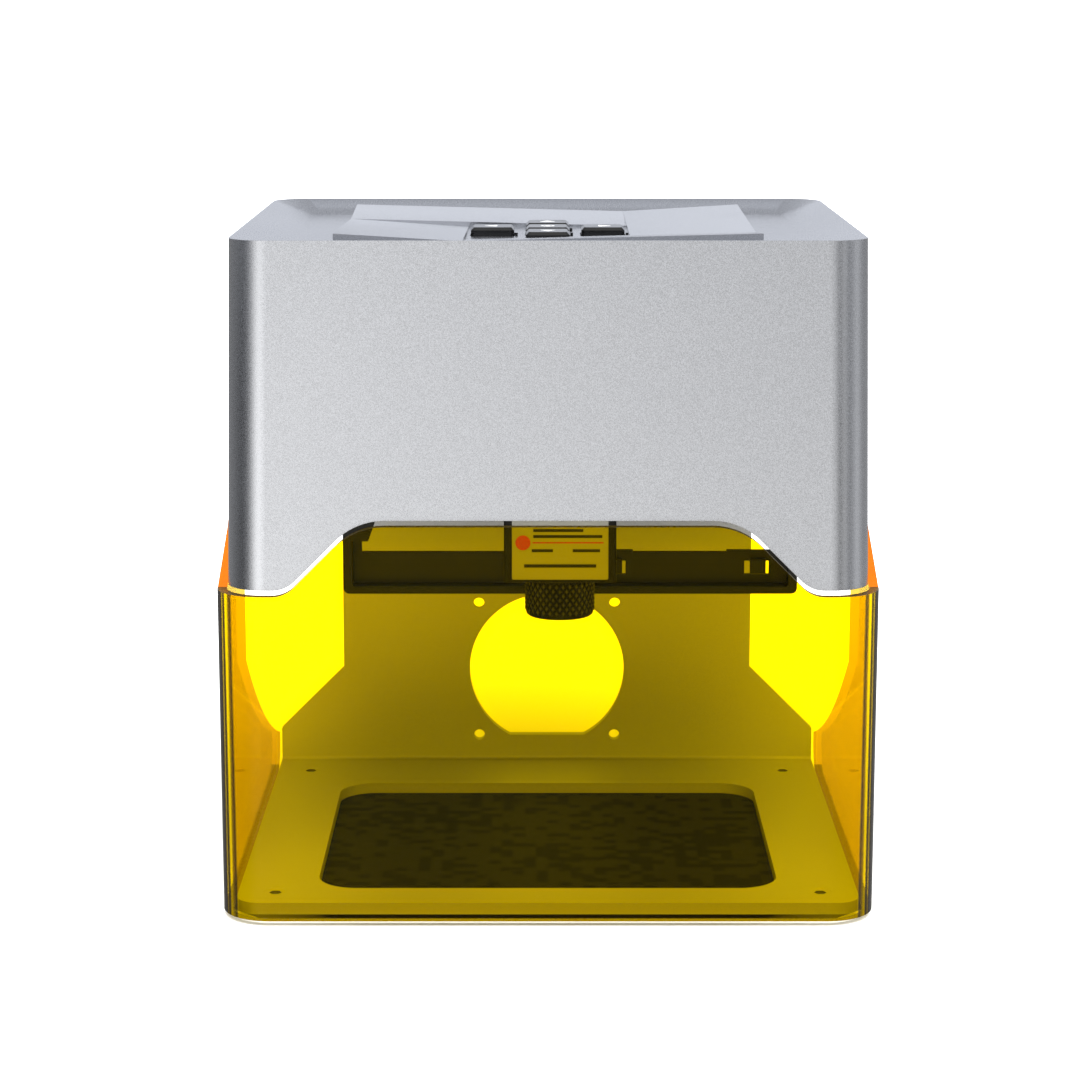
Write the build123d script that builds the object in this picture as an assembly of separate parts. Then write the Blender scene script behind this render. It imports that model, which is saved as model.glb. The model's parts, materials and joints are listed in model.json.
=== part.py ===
from build123d import *
import math
import os

# Desktop laser cutter: a bent metal chassis carries a hood that hides a two-axis
# stage, a laser module hangs from the stage over a work plate, and a clear amber
# visor closes the work space and swings up about two screws on the hood's sides.
# Frame: X to the right, Y to the back, Z up. The origin is on the table, under the
# middle of the machine. Millimetres.

# ---- overall sizes ----
overall_depth = 144.8
foot_height = 1.5
plate_thickness = 3.0

# ---- chassis plate ----
plate_half = 78.7
plate_inset = 2.6
plate_corner = 6.0
bend_outer = 4.0
window_half = 59.0
window_inset = 12.1
window_depth = 97.7
window_corner = 10.0
shoulder_top = 12.3
spine_half = 60.0
spine_top = 165.0
spine_corner = 6.0
exhaust_radius = 22.8
exhaust_flat = 20.0
exhaust_rise = 27.4
exhaust_pitch = 40.0
exhaust_screw_hole = 3.2
work_plate_thickness = 1.2
work_plate_border = 5.0
work_plate_corner = 3.0

# ---- feet ----
foot_half_x = 69.2
foot_inset = 8.8
foot_pitch_y = 114.7
foot_radius = 5.0
foot_chamfer = 0.4
pad_bite = 1.0

# ---- countersunk screws of the feet and the hood ----
screw_shank = 1.5
screw_head = 2.9
hex_key = 0.9
hex_depth = 1.2
foot_screw_bite = 0.6
hood_screw_x = 52.0
hood_screw_low = 98.0
hood_screw_high = 144.0

# ---- hood ----
hood_wall = 2.0
hood_half_low = 79.3
hood_half_high = 77.5
hood_low = 85.1
hood_high = 170.7
hood_corner = 10.0
arch_rise = 17.4
arch_half_top = 47.0
arch_radius_top = 17.0
arch_radius_foot = 8.0
rim_flat = 0.5
rim_width = 11.75
dish_depth = 3.75
dish_corner = 1.5

# ---- control panel and buttons ----
panel_half = 52.6
panel_depth = 95.0
panel_mid = 62.0
recess = 42.0
facet_high = 4.2
facet_low = 2.35
peg_radius = 1.5
peg_length = 1.8
peg_inset = 8.0
button_size = 11.2
button_pitch = 14.3
button_gap = 0.2
button_proud = 2.2
button_chamfer = 0.7
button_corner = 0.8
button_flange = 13.0
flange_thickness = 1.2
button_travel = 0.8
plunger_radius = 1.6
plunger_depth = 0.6
plunger_room = 1.0
switch_size = 6.2
switch_height = 4.0
lamp_radius = 0.35
lamp_gap = 0.05
lamp_height = 0.8

# ---- control board and sockets ----
board_half = 50.0
board_depth = 84.0
board_thickness = 1.6
board_drop = 12.0
board_back = 4.0
board_hole = 1.3
processor_size = 10.0
processor_height = 1.6
driver_size = 7.0
driver_height = 1.2
capacitor_radius = 3.1
capacitor_height = 7.0
standoff_radius = 2.8
standoff_inset = 5.0
jack_x = -34.0
usb_x = 34.0
socket_z = 156.0
jack_width = 9.0
jack_height = 11.0
jack_length = 14.0
jack_bore = 3.0
jack_bore_depth = 9.0
jack_pin = 1.0
pin_recess = 1.5
usb_width = 12.2
usb_height = 11.0
usb_length = 16.0
usb_mouth_x = 8.8
usb_mouth_z = 8.0
usb_mouth_depth = 11.0
tongue_x = 5.6
tongue_z = 3.2
tongue_recess = 2.0

# ---- visor ----
visor_wall = 2.4
visor_gap_front = 0.6
visor_gap_side = 0.3
visor_corner_inner = 10.0
visor_edge_gap = 1.0
visor_corner_drop = 1.1
arm_start = 9.7
arm_knee = 34.7
arm_knee_rise = 10.9
notch_front = 51.0
notch_low = 55.5
notch_high = 80.5
wing_mid = 81.8
wing_mid_z = 36.4
wing_end_z = 12.0
wing_fillet = 8.0
pivot_inset = 125.0
pivot_z = 143.5
pivot_boss = 8.0
boss_angle = 125
pivot_shoulder = 2.5
pivot_thread = 2.0
pivot_head = 4.5
pivot_head_height = 2.2
pivot_head_round = 0.8
pivot_thread_length = 6.5
pivot_hex = 1.5
pivot_hex_depth = 1.3
pivot_reach = 5.0
pivot_nut_circle = 3.9
pivot_nut_height = 3.2
pivot_nut_gap = 0.3
washer_gap = 0.02
washer_radius = 5.0

# ---- running and assembly clearances, and how far a cut runs past a face ----
running = 0.05
sliding = 0.03
clear = 0.1
gap = 0.5
past = 1.0
far_past = 20.0

# ---- Y stage ----
y_rod_half = 60.0
y_rod_radius = 3.0
y_rod_z = 132.0
holder_size = 16.0
holder_depth = 8.0
holder_corner = 1.5
holder_arm_half = 5.0
rod_inset = 1.0
slide_half = 8.0
slide_chamfer = 1.0
slide_length = 26.0
slide_front = 66.0
bush_wall = 1.5
bush_length = 8.0
screw_radius = 2.0
nut_radius = 4.5
nut_length = 14.0
nut_wall = 2.0
y_screw_x = -38.0
motor_radius = 10.0
motor_bore = 3.0
rotor_gap = 0.3
y_motor_length = 14.0
y_motor_round = 0.6
plug_half = 5.0
plug_inset = 3.0
plug_low = 8.0
plug_high = 12.0

# ---- X beam and stage ----
beam_left = -56.2
beam_right = 68.9
beam_bottom = 65.8
tray_top = 76.7
beam_front = 87.0
beam_depth = 6.0
beam_rim = 2.4
beam_lip = 2.0
beam_skin = 1.5
beam_corner = 1.6
column_width = 4.9
lintel_bottom = 112.0
hanger_bottom = 118.0
hanger_over_left = 6.0
hanger_over_right = 8.0
tray_window_width = 6.8
tray_window_height = 3.8
tray_window_z = 72.3
tray_window_right = 58.0
tray_window_middle = 18.3
gusset_bottom = 80.5
gusset_foot = 2.0
gusset_top = 3.8
gusset_slope = 5.0
gusset_height = 7.0
tab_inset = 1.0
tab_slot_inset = 1.8
tab_out = 2.0
tab_rise = 0.6
fin_over_tray = 0.5
x_rod_y = 96.0
x_rod_radius = 2.0
x_rod_low = 92.0
x_rod_high = 106.0
x_bush_wall = 1.2
x_block_length = 4.5
x_block_depth = 7.0
x_block_over = 4.5
x_rod_inset = 0.8
x_motor_radius = 5.5
x_motor_length = 9.6
x_motor_round = 0.5

# ---- laser module ----
laser_x = 3.3
laser_y = 69.0
laser_size = 29.7
laser_bottom = 75.8
laser_top = 109.0
fan_height = 7.0
fan_bore = 13.6
fan_corner = 2.0
spoke_height = 1.0
spoke_width = 1.6
spoke_count = 3
rotor_radius = 13.0
rotor_height = 5.4
hub_radius = 6.0
pin_radius = 1.0
pin_short = 1.6
rotor_lift = 1.3
blade_tilt = 38
blade_chord = 6.2
blade_thickness = 0.8
blade_tip_gap = 0.4
blade_count = 7
fin_count = 7
fin_depth = 4.5
fin_slot = 1.7
fin_border = 2.0
block_chamfer = 0.6
barrel_seat = 12.0
barrel_grip = 10.0
label_width = 25.4
label_height = 29.6
label_thickness = 0.4
label_rise = 0.9
slider_width = 20.0
slider_wall = 1.2
x_bush_length = 6.0
x_nut_length = 12.0
ring_radius = 9.5
ring_height = 11.0
ring_gap = 0.6
barrel_radius = 6.5
barrel_bore = 4.0
lens_thickness = 2.0
castle_radius = 8.8
castle_height = 0.5
castle_count = 18
castle_notch = 1.4
ring_chamfer = 0.6
barrel_short = 1.0
lens_chamfer = 0.3

# ---- places worked out from the sizes above ----
visor_front_y = -overall_depth / 2
hood_front_y = visor_front_y + visor_wall + visor_gap_front
back_y = overall_depth / 2
spine_y = back_y - plate_thickness
hood_depth = spine_y - hood_front_y
base_top = foot_height + plate_thickness
plate_front_y = hood_front_y + plate_inset
window_front_y = plate_front_y + window_inset
window_mid_y = window_front_y + window_depth / 2
foot_front_y = plate_front_y + foot_inset
exhaust_z = base_top + exhaust_rise
dish_floor = hood_high - dish_depth
roof_under = dish_floor - hood_wall
panel_y = hood_front_y + panel_mid
board_top = roof_under - board_drop
pivot_y = hood_front_y + pivot_inset
visor_inner = hood_half_low + visor_gap_side
visor_outer = visor_inner + visor_wall
beam_y = hood_front_y + beam_front
laser_axis_y = hood_front_y + laser_y
rod_axis_y = hood_front_y + x_rod_y
screw_z = (x_rod_low + x_rod_high) / 2
shank_hole = screw_shank + clear
head_hole = screw_head + clear
rod_limits = (hood_front_y + hood_wall + rod_inset, spine_y - hood_wall - rod_inset)
switch_top = board_top + switch_height
foot_places = [(sx * foot_half_x, foot_front_y + dy) for sx in (-1, 1) for dy in (0, foot_pitch_y)]
hood_screw_places = [(sx * hood_screw_x, z) for sx in (-1, 1) for z in (hood_screw_low, hood_screw_high)]
button_places = {
    "up": (0, 1),
    "down": (0, -1),
    "left": (-1, 0),
    "right": (1, 0),
    "ok": (0, 0),
}


# ---- drawing helpers ----
def block(x, y, z):
    """A box between its limits along X, Y and Z."""
    middle = [(low + high) / 2 for low, high in (x, y, z)]
    return Pos(*middle) * Box(*[high - low for low, high in (x, y, z)])


def bar_x(radius, x, y, z):
    """A round bar along X between two X limits."""
    return Pos((x[0] + x[1]) / 2, y, z) * Rot(0, 90, 0) * Cylinder(radius, x[1] - x[0])


def bar_y(radius, x, y, z):
    """A round bar along Y between two Y limits."""
    return Pos(x, (y[0] + y[1]) / 2, z) * Rot(90, 0, 0) * Cylinder(radius, y[1] - y[0])


def bar_z(radius, x, y, z):
    """A round bar along Z between two Z limits."""
    return Pos(x, y, (z[0] + z[1]) / 2) * Cylinder(radius, z[1] - z[0])


def prism_x(sketch, x):
    """A sketch drawn in Y and Z, extruded between two X limits."""
    return extrude(Plane.YZ.offset(x[0]) * sketch, amount=x[1] - x[0])


def prism_y(sketch, y):
    """A sketch drawn in X and Z, extruded between two Y limits."""
    return extrude(Plane.XZ.offset(-y[1]) * sketch, amount=y[1] - y[0])


def outline(points):
    """A closed face with straight sides."""
    return make_face(Polyline(*points, close=True))


def around(centre, half):
    """The limits that lie half each side of a centre."""
    return (centre - half, centre + half)


def both_sides(shape):
    """A shape and its mirror image about the machine's middle plane."""
    return [shape, mirror(shape, about=Plane.YZ)]


def together(pieces):
    """Separate solids that share one node."""
    return Compound(children=list(pieces))


def upright_edges(shape, y, above=True):
    """Vertical edges on one side of a Y value."""
    chosen = [e for e in shape.edges().filter_by(Axis.Z) if (e.center().Y > y) == above]
    return ShapeList(chosen)


# ---- chassis ----
def exhaust_outline():
    """Round exhaust opening with a flat cut across its bottom."""
    circle = Pos(0, exhaust_z) * Circle(exhaust_radius)
    below = Pos(0, exhaust_z - exhaust_flat - exhaust_radius / 2)
    return circle - below * Rectangle(2 * exhaust_radius, exhaust_radius)


def chassis_plate():
    """Base and spine bent from one sheet."""
    base = block((-plate_half, plate_half), (plate_front_y, back_y), (foot_height, base_top))
    base = fillet(upright_edges(base, 0, above=False), plate_corner)
    slope = plate_half - spine_half
    half = [
        (plate_half, foot_height),
        (plate_half, foot_height + shoulder_top),
        (spine_half, foot_height + shoulder_top + slope),
        (spine_half, spine_top),
    ]
    face = outline(half + [(-x, z) for x, z in reversed(half)])
    top_corners = face.vertices().group_by(Axis.Y)[-1]
    face = fillet(top_corners, spine_corner)
    spine = prism_y(face, (spine_y, back_y))
    plate = base + spine
    bend = [e for e in plate.edges().filter_by(Axis.X)
            if e.center().Y > back_y - 0.01 and e.center().Z < foot_height + 0.01]
    plate = fillet(bend, bend_outer)
    window = Pos(0, window_mid_y) * RectangleRounded(2 * window_half, window_depth, window_corner)
    plate -= extrude(window, amount=2 * base_top)
    plate -= prism_y(exhaust_outline(), (spine_y - past, back_y + past))
    for sx in (-1, 1):
        for sz in (-1, 1):
            x, z = sx * exhaust_pitch / 2, exhaust_z + sz * exhaust_pitch / 2
            plate -= bar_y(exhaust_screw_hole / 2, x, (spine_y - past, back_y + past), z)
    for x, y in foot_places:
        plate -= Pos(x, y, base_top) * sink(shank_hole, head_hole, base_top)
    for x, z in hood_screw_places:
        plate -= Pos(x, back_y, z) * Rot(-90, 0, 0) * sink(shank_hole, head_hole, 2 * plate_thickness)
    plate -= jack_body(clear) + usb_body(clear)
    return plate


def sink(shank, head, length):
    """A countersunk screw's form, head face at Z 0 and shank down."""
    cone = Pos(0, 0, -(head - shank) / 2) * Cone(shank, head, head - shank)
    return cone + bar_z(shank, 0, 0, (-length, 0))


def foot_screws():
    """Countersunk screws that hold the feet."""
    return together([
        Pos(x, y, base_top - clear) * sink(screw_shank, screw_head, plate_thickness + foot_screw_bite)
        - Pos(x, y, base_top - clear) * extrude(RegularPolygon(hex_key, 6), amount=-hex_depth)
        for x, y in foot_places
    ])


def foot_pads():
    """Four low rubber pads."""
    pad = bar_z(foot_radius, 0, 0, (0, foot_height))
    pad -= bar_z(shank_hole, 0, 0, (foot_height - pad_bite, foot_height + past))
    pad = chamfer(pad.edges().filter_by(GeomType.CIRCLE).sort_by(Axis.Z)[0], foot_chamfer)
    return together([Pos(x, y, 0) * pad for x, y in foot_places])


def work_plate():
    """Dark plate under the window, where the work lies."""
    width = 2 * (window_half + work_plate_border)
    depth = window_depth + 2 * work_plate_border
    place = Pos(0, window_mid_y, foot_height - work_plate_thickness)
    return extrude(place * RectangleRounded(width, depth, work_plate_corner), amount=work_plate_thickness)


# ---- hood ----
def hood_half(z):
    """Half the hood's outer width at a height."""
    share = (z - hood_low) / (hood_high - hood_low)
    return hood_half_low + share * (hood_half_high - hood_half_low)


def hood_section(z, inset, corner):
    """The hood's plan at a height, drawn in by a wall."""
    width = 2 * (hood_half(z) - inset)
    middle = hood_front_y + hood_depth / 2
    return Pos(0, middle, z) * RectangleRounded(width, hood_depth - 2 * inset, corner)


def arch_outline(drop):
    """Space under the hood's front edge, lowered by a drop."""
    top = hood_low + arch_rise - drop
    low = hood_low - drop
    foot = arch_half_top + arch_rise
    low_edge = low - 2 * far_past
    points = [
        (arch_half_top, top),
        (foot, low),
        (visor_outer + far_past, low),
        (visor_outer + far_past, low_edge),
    ]
    face = outline(points + [(-x, z) for x, z in reversed(points)])
    tops = [v for v in face.vertices() if abs(v.Y - top) < 0.01]
    face = fillet(tops, arch_radius_top)
    feet = [v for v in face.vertices() if abs(v.Y - low) < 0.01 and abs(v.X) < foot + 1]
    return fillet(feet, arch_radius_foot)


def hood_shell():
    """Shell with four walls and a dished roof, open below."""
    outer = loft([hood_section(hood_low, 0, hood_corner), hood_section(hood_high, 0, hood_corner)])
    inner_corner = hood_corner - hood_wall
    inner = loft([
        hood_section(hood_low - past, hood_wall, inner_corner),
        hood_section(roof_under, hood_wall, inner_corner),
    ])
    dish = loft([
        hood_section(dish_floor, rim_width, dish_corner),
        hood_section(hood_high, rim_flat, hood_corner - rim_flat),
    ])
    shell = outer - inner - dish
    shell -= prism_y(arch_outline(0), (hood_front_y - past, hood_front_y + hood_wall + gap))
    for column, row in button_places.values():
        shell -= button_hole(column, row)
    for x, y in peg_places():
        shell -= bar_z(peg_radius + clear, x, y, (roof_under - past, dish_floor + past))
    for side in (-1, 1):
        wall = around(side * hood_half(pivot_z), pivot_reach)
        shell -= bar_x(pivot_thread + clear, wall, pivot_y, pivot_z)
    for x, z in hood_screw_places:
        shell -= bar_y(shank_hole, x, (spine_y - hood_wall - past, spine_y + past), z)
    shell -= jack_body(clear) + usb_body(clear)
    return shell


def hood_screws():
    """Screws that hold the hood to the spine."""
    tool = sink(screw_shank, screw_head, plate_thickness + hood_wall)
    tool -= extrude(RegularPolygon(hex_key, 6), amount=-hex_depth)
    return together([Pos(x, back_y - clear, z) * Rot(-90, 0, 0) * tool for x, z in hood_screw_places])


# ---- control panel ----
def facet(x, y, high_x, high_y):
    """One tilted quarter of the panel, highest at one outer corner."""
    low_x = x[0] if high_x == x[1] else x[1]
    low_y = y[0] if high_y == y[1] else y[1]
    high = Vector(high_x, high_y, dish_floor + facet_high)
    along_x = Vector(low_x, high_y, dish_floor + facet_low) - high
    along_y = Vector(high_x, low_y, dish_floor + facet_low) - high
    normal = along_x.cross(along_y)
    if normal.Z < 0:
        normal = normal * -1
    top = Plane(origin=high, x_dir=along_x, z_dir=normal)
    solid = block(x, y, (dish_floor, dish_floor + facet_high + past))
    return split(solid, bisect_by=top, keep=Keep.BOTTOM)


def peg_places():
    """Where the panel's locating pegs stand."""
    reach_x = panel_half - peg_inset
    reach_y = panel_depth / 2 - peg_inset
    return [(sx * reach_x, panel_y + sy * reach_y) for sx in (-1, 1) for sy in (-1, 1)]


def control_panel():
    """Four tilted facets turned about a square opening."""
    front, back = panel_y - panel_depth / 2, panel_y + panel_depth / 2
    low, high = panel_y - recess / 2, panel_y + recess / 2
    side = recess / 2
    panel = facet((-panel_half, side), (high, back), -panel_half, back)
    panel += facet((side, panel_half), (low, back), panel_half, back)
    panel += facet((-side, panel_half), (front, low), panel_half, front)
    panel += facet((-panel_half, -side), (front, high), -panel_half, front)
    for x, y in peg_places():
        panel += bar_z(peg_radius, x, y, (dish_floor - peg_length, dish_floor + gap))
    return panel


def button_centre(column, row):
    """Plan position of one button."""
    return column * button_pitch, panel_y + row * button_pitch


def button_hole(column, row):
    """Square hole in the roof for one button."""
    x, y = button_centre(column, row)
    half = button_size / 2 + button_gap
    return block(around(x, half), around(y, half), (roof_under - past, dish_floor + past))


def button(column, row):
    """Square key with a flange under the roof and a plunger."""
    x, y = button_centre(column, row)
    half = button_size / 2
    flange_top = roof_under - clear
    flange_low = flange_top - flange_thickness
    cap = block(around(x, half), around(y, half), (flange_low, dish_floor + button_proud))
    cap = fillet(cap.edges().filter_by(Axis.Z), button_corner)
    cap = chamfer(cap.faces().sort_by(Axis.Z)[-1].edges(), button_chamfer)
    flange = block(around(x, button_flange / 2), around(y, button_flange / 2), (flange_low, flange_top))
    plunger_end = switch_top - plunger_depth
    return cap + flange + bar_z(plunger_radius, x, y, (plunger_end, flange_low + clear))


def tact_switches():
    """Five switch housings on the board, each bored for its plunger."""
    housings = []
    for column, row in button_places.values():
        x, y = button_centre(column, row)
        body = block(around(x, switch_size / 2), around(y, switch_size / 2), (board_top, switch_top))
        well = (switch_top - button_travel - plunger_room, switch_top + past)
        body -= bar_z(plunger_radius + clear, x, y, well)
        housings.append(body)
    return together(housings)


def indicator_lamps():
    """A small round lamp to the right of each button."""
    lamps = []
    for column, row in button_places.values():
        x, y = button_centre(column, row)
        x += button_size / 2 + button_gap + lamp_radius + lamp_gap
        y -= button_size / 2 - 3 * lamp_radius
        lamps.append(bar_z(lamp_radius, x, y, (dish_floor, dish_floor + lamp_height)))
    return together(lamps)


# ---- electronics ----
def board_middle_y():
    """Middle of the control board along Y."""
    return panel_y + board_back


def standoff_places():
    """Corners of the control board where it is held."""
    reach_x = board_half - standoff_inset
    reach_y = board_depth / 2 - standoff_inset
    return [(sx * reach_x, board_middle_y() + sy * reach_y) for sx in (-1, 1) for sy in (-1, 1)]


def package(size, height, x, y, under):
    """A square package under the board."""
    return block(around(x, size / 2), around(y, size / 2), (under - height, under))


def control_board():
    """Circuit board with its main packages."""
    y = board_middle_y()
    limits_y = around(y, board_depth / 2)
    board = block((-board_half, board_half), limits_y, (board_top - board_thickness, board_top))
    for x, hole_y in standoff_places():
        board -= bar_z(board_hole, x, hole_y, (board_top - 2 * board_thickness, board_top + past))
    under = board_top - board_thickness
    board += package(processor_size, processor_height, -27, y + 19, under)
    board += package(driver_size, driver_height, 13.5, y + 15.5, under)
    for x in (-8, 26):
        board += bar_z(capacitor_radius, x, y - 30, (under - capacitor_height, under))
    return board


def board_standoffs():
    """Pillars between the roof and the board."""
    pillar = bar_z(standoff_radius, 0, 0, (board_top, roof_under))
    return together([Pos(x, y, 0) * pillar for x, y in standoff_places()])


def jack_body(grow):
    """Outer form of the power jack, grown for its hole."""
    half_x, half_z = jack_width / 2 + grow, jack_height / 2 + grow
    return block(around(jack_x, half_x), (back_y - jack_length, back_y + grow), around(socket_z, half_z))


def usb_body(grow):
    """Outer form of the data socket, grown for its hole."""
    half_x, half_z = usb_width / 2 + grow, usb_height / 2 + grow
    return block(around(usb_x, half_x), (back_y - usb_length, back_y + grow), around(socket_z, half_z))


def dc_jack():
    """Barrel jack with its centre pin."""
    jack = jack_body(0) - bar_y(jack_bore, jack_x, (back_y - jack_bore_depth, back_y + past), socket_z)
    return jack + bar_y(jack_pin, jack_x, (back_y - jack_bore_depth - gap, back_y - pin_recess), socket_z)


def usb_socket():
    """Square data socket with its tongue."""
    socket = usb_body(0)
    inner = back_y - usb_mouth_depth
    mouth = (inner, back_y + past)
    socket -= block(around(usb_x, usb_mouth_x / 2), mouth, around(socket_z, usb_mouth_z / 2))
    tongue = (inner - gap, back_y - tongue_recess)
    return socket + block(around(usb_x, tongue_x / 2), tongue, around(socket_z, tongue_z / 2))


# ---- visor ----
def visor_profile():
    """Side view of the visor: front, wing and arm."""
    front = visor_front_y
    top = hood_low + arch_rise - visor_edge_gap
    step = hood_low - visor_corner_drop
    arm_y, knee_y, notch_y = (hood_front_y + d for d in (arm_start, arm_knee, notch_front))
    knee_z = step + arm_knee_rise
    wing = (hood_front_y + wing_mid, wing_mid_z)
    tangent = math.radians(boss_angle)
    boss_high = (pivot_y + pivot_boss * math.cos(tangent), pivot_z + pivot_boss * math.sin(tangent))
    boss_low = (pivot_y - pivot_boss * math.cos(tangent), pivot_z - pivot_boss * math.sin(tangent))
    lower = Polyline(
        (arm_y, top), (front, top), (front, foot_height), (back_y, foot_height), (back_y, wing_end_z))
    wing_arc = ThreePointArc((back_y, wing_end_z), wing, (notch_y, notch_low))
    arm = Polyline(
        (notch_y, notch_low), (notch_y, notch_high), boss_low, boss_high,
        (knee_y, knee_z), (arm_y, step), (arm_y, top),
    )
    face = make_face(lower + wing_arc + arm)
    rear_foot = [v for v in face.vertices() if v.X > back_y - 0.01 and v.Y < foot_height + 0.01]
    face = fillet(rear_foot, wing_fillet)
    return face + Pos(pivot_y, pivot_z) * Circle(pivot_boss)


def visor_cover():
    """Clear cover bent in a U, with two arms to its pivots."""
    reach = overall_depth + 2 * far_past
    far = visor_front_y + reach / 2
    height = hood_high
    outer = Pos(0, far) * Rectangle(2 * visor_outer, reach)
    outer = fillet(outer.vertices().group_by(Axis.Y)[0], visor_corner_inner + visor_wall)
    inner = Pos(0, far + visor_wall) * Rectangle(2 * visor_inner, reach)
    inner = fillet(inner.vertices().group_by(Axis.Y)[0], visor_corner_inner)
    walls = extrude(outer - inner, amount=height)
    across = around(0, visor_outer + past)
    cover = walls & prism_x(visor_profile(), across)
    step_y = hood_front_y + arm_start
    corner_top = hood_low - visor_corner_drop
    above = block(across, (visor_front_y - past, step_y), (corner_top, hood_high))
    above -= prism_y(arch_outline(visor_edge_gap), (visor_front_y - 2 * past, step_y + past))
    cover -= above
    for side in (-1, 1):
        cover -= bar_x(pivot_shoulder + running, around(side * visor_inner, pivot_reach), pivot_y, pivot_z)
    return cover


def pivot_screws():
    """Shoulder screws that the visor turns on."""
    seat = hood_half(pivot_z - washer_radius)
    head_x = visor_outer + clear
    screw = bar_x(pivot_shoulder, (seat, head_x), pivot_y, pivot_z)
    screw += bar_x(pivot_thread, (seat - pivot_thread_length, seat), pivot_y, pivot_z)
    head = bar_x(pivot_head, (head_x, head_x + pivot_head_height), pivot_y, pivot_z)
    head = fillet(head.edges().sort_by(Axis.X)[-1], pivot_head_round)
    socket = Pos(head_x + pivot_head_height, pivot_y, pivot_z) * Rot(0, 90, 0)
    screw += head - socket * extrude(RegularPolygon(pivot_hex, 6), amount=-pivot_hex_depth)
    return together(both_sides(screw))


def pivot_washers():
    """Plain washers between the hood and the visor's arms."""
    seat = hood_half(pivot_z - washer_radius)
    limits = (seat + washer_gap, visor_inner - clear)
    washer = bar_x(washer_radius, limits, pivot_y, pivot_z)
    washer -= bar_x(pivot_shoulder + running, limits, pivot_y, pivot_z)
    return together(both_sides(washer))


def pivot_nuts():
    """Nuts inside the hood for the shoulder screws."""
    inside = hood_half(pivot_z + pivot_nut_circle) - hood_wall - pivot_nut_gap
    plane = Plane.YZ.offset(inside - pivot_nut_height) * Pos(pivot_y, pivot_z)
    nut = extrude(plane * RegularPolygon(pivot_nut_circle, 6), amount=pivot_nut_height)
    nut -= bar_x(pivot_thread + sliding, (inside - pivot_reach, inside + past), pivot_y, pivot_z)
    return together(both_sides(nut))


# ---- Y stage ----
def holders(front):
    """Rod holders on the inside of the hood's front or back wall."""
    wall = hood_front_y + hood_wall if front else spine_y - hood_wall
    limits = (wall, wall + holder_depth) if front else (wall - holder_depth, wall)
    half = holder_size / 2
    holder = block(around(y_rod_half, half), limits, around(y_rod_z, half))
    holder = fillet(holder.edges().filter_by(Axis.Y), holder_corner)
    holder -= bar_y(y_rod_radius + sliding, y_rod_half, rod_limits, y_rod_z)
    pair = both_sides(holder)
    if not front:
        arm = block((-y_rod_half, y_screw_x + holder_arm_half), limits, around(y_rod_z, holder_arm_half))
        arm -= pair[1]
        arm -= bar_y(2 * y_rod_radius, -y_rod_half, limits, y_rod_z)
        pair[1] = pair[1] + arm - bar_y(screw_radius + running, y_screw_x, limits, y_rod_z)
    return together(pair)


def y_rods():
    """Two ground rods along Y."""
    return together(both_sides(bar_y(y_rod_radius, y_rod_half, rod_limits, y_rod_z)))


def y_motor():
    """Small can stepper behind the hood's front wall."""
    front = hood_front_y + hood_wall
    back = front + y_motor_length
    motor = bar_y(motor_radius, y_screw_x, (front, back), y_rod_z)
    motor = fillet(motor.edges().filter_by(GeomType.CIRCLE), y_motor_round)
    motor -= bar_y(screw_radius + rotor_gap, y_screw_x, (back - motor_bore, back + past), y_rod_z)
    plug = (y_rod_z + plug_low, y_rod_z + plug_high)
    return motor + block(around(y_screw_x, plug_half), (front + plug_inset, back - plug_inset), plug)


def y_screw():
    """Lead screw of the Y stage."""
    front = hood_front_y + hood_wall + y_motor_length - motor_bore + gap
    return bar_y(screw_radius, y_screw_x, (front, rod_limits[1]), y_rod_z)


def slide_limits():
    """Limits of the Y slides along Y."""
    front = hood_front_y + slide_front
    return (front, front + slide_length)


def nut_limits():
    """Limits of the Y nut along Y."""
    return around(sum(slide_limits()) / 2, nut_length / 2)


def y_slide(side):
    """Block that runs on one Y rod, the left one also holding the nut."""
    x = side * y_rod_half
    limits = slide_limits()
    body = block(around(x, slide_half), limits, around(y_rod_z, slide_half))
    body = chamfer(body.edges().filter_by(Axis.Y), slide_chamfer)
    if side < 0:
        reach = nut_radius + nut_wall
        body += block((x, y_screw_x + reach), nut_limits(), around(y_rod_z, reach))
        body -= bar_y(nut_radius, y_screw_x, limits, y_rod_z)
    return body - bar_y(y_rod_radius + bush_wall, x, limits, y_rod_z)


def y_bushings():
    """Bronze bushes pressed in the Y slides."""
    bushes = []
    front, back = slide_limits()
    for side in (-1, 1):
        for limits in ((front, front + bush_length), (back - bush_length, back)):
            bush = bar_y(y_rod_radius + bush_wall, side * y_rod_half, limits, y_rod_z)
            bushes.append(bush - bar_y(y_rod_radius + sliding, side * y_rod_half, limits, y_rod_z))
    return together(bushes)


def y_nut():
    """Brass nut of the Y screw."""
    nut = bar_y(nut_radius, y_screw_x, nut_limits(), y_rod_z)
    return nut - bar_y(screw_radius + running, y_screw_x, nut_limits(), y_rod_z)


def beam_hangers():
    """Plates that hang the beam from the Y slides."""
    front = slide_limits()[0]
    limits_z = (hanger_bottom, y_rod_z - slide_half)
    outer = y_rod_half + slide_half
    left = block((-outer, beam_left + hanger_over_left), (front, beam_y + beam_depth), limits_z)
    right = block((beam_right - hanger_over_right, outer), (front, beam_y + beam_depth), limits_z)
    return together([left, right])


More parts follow.
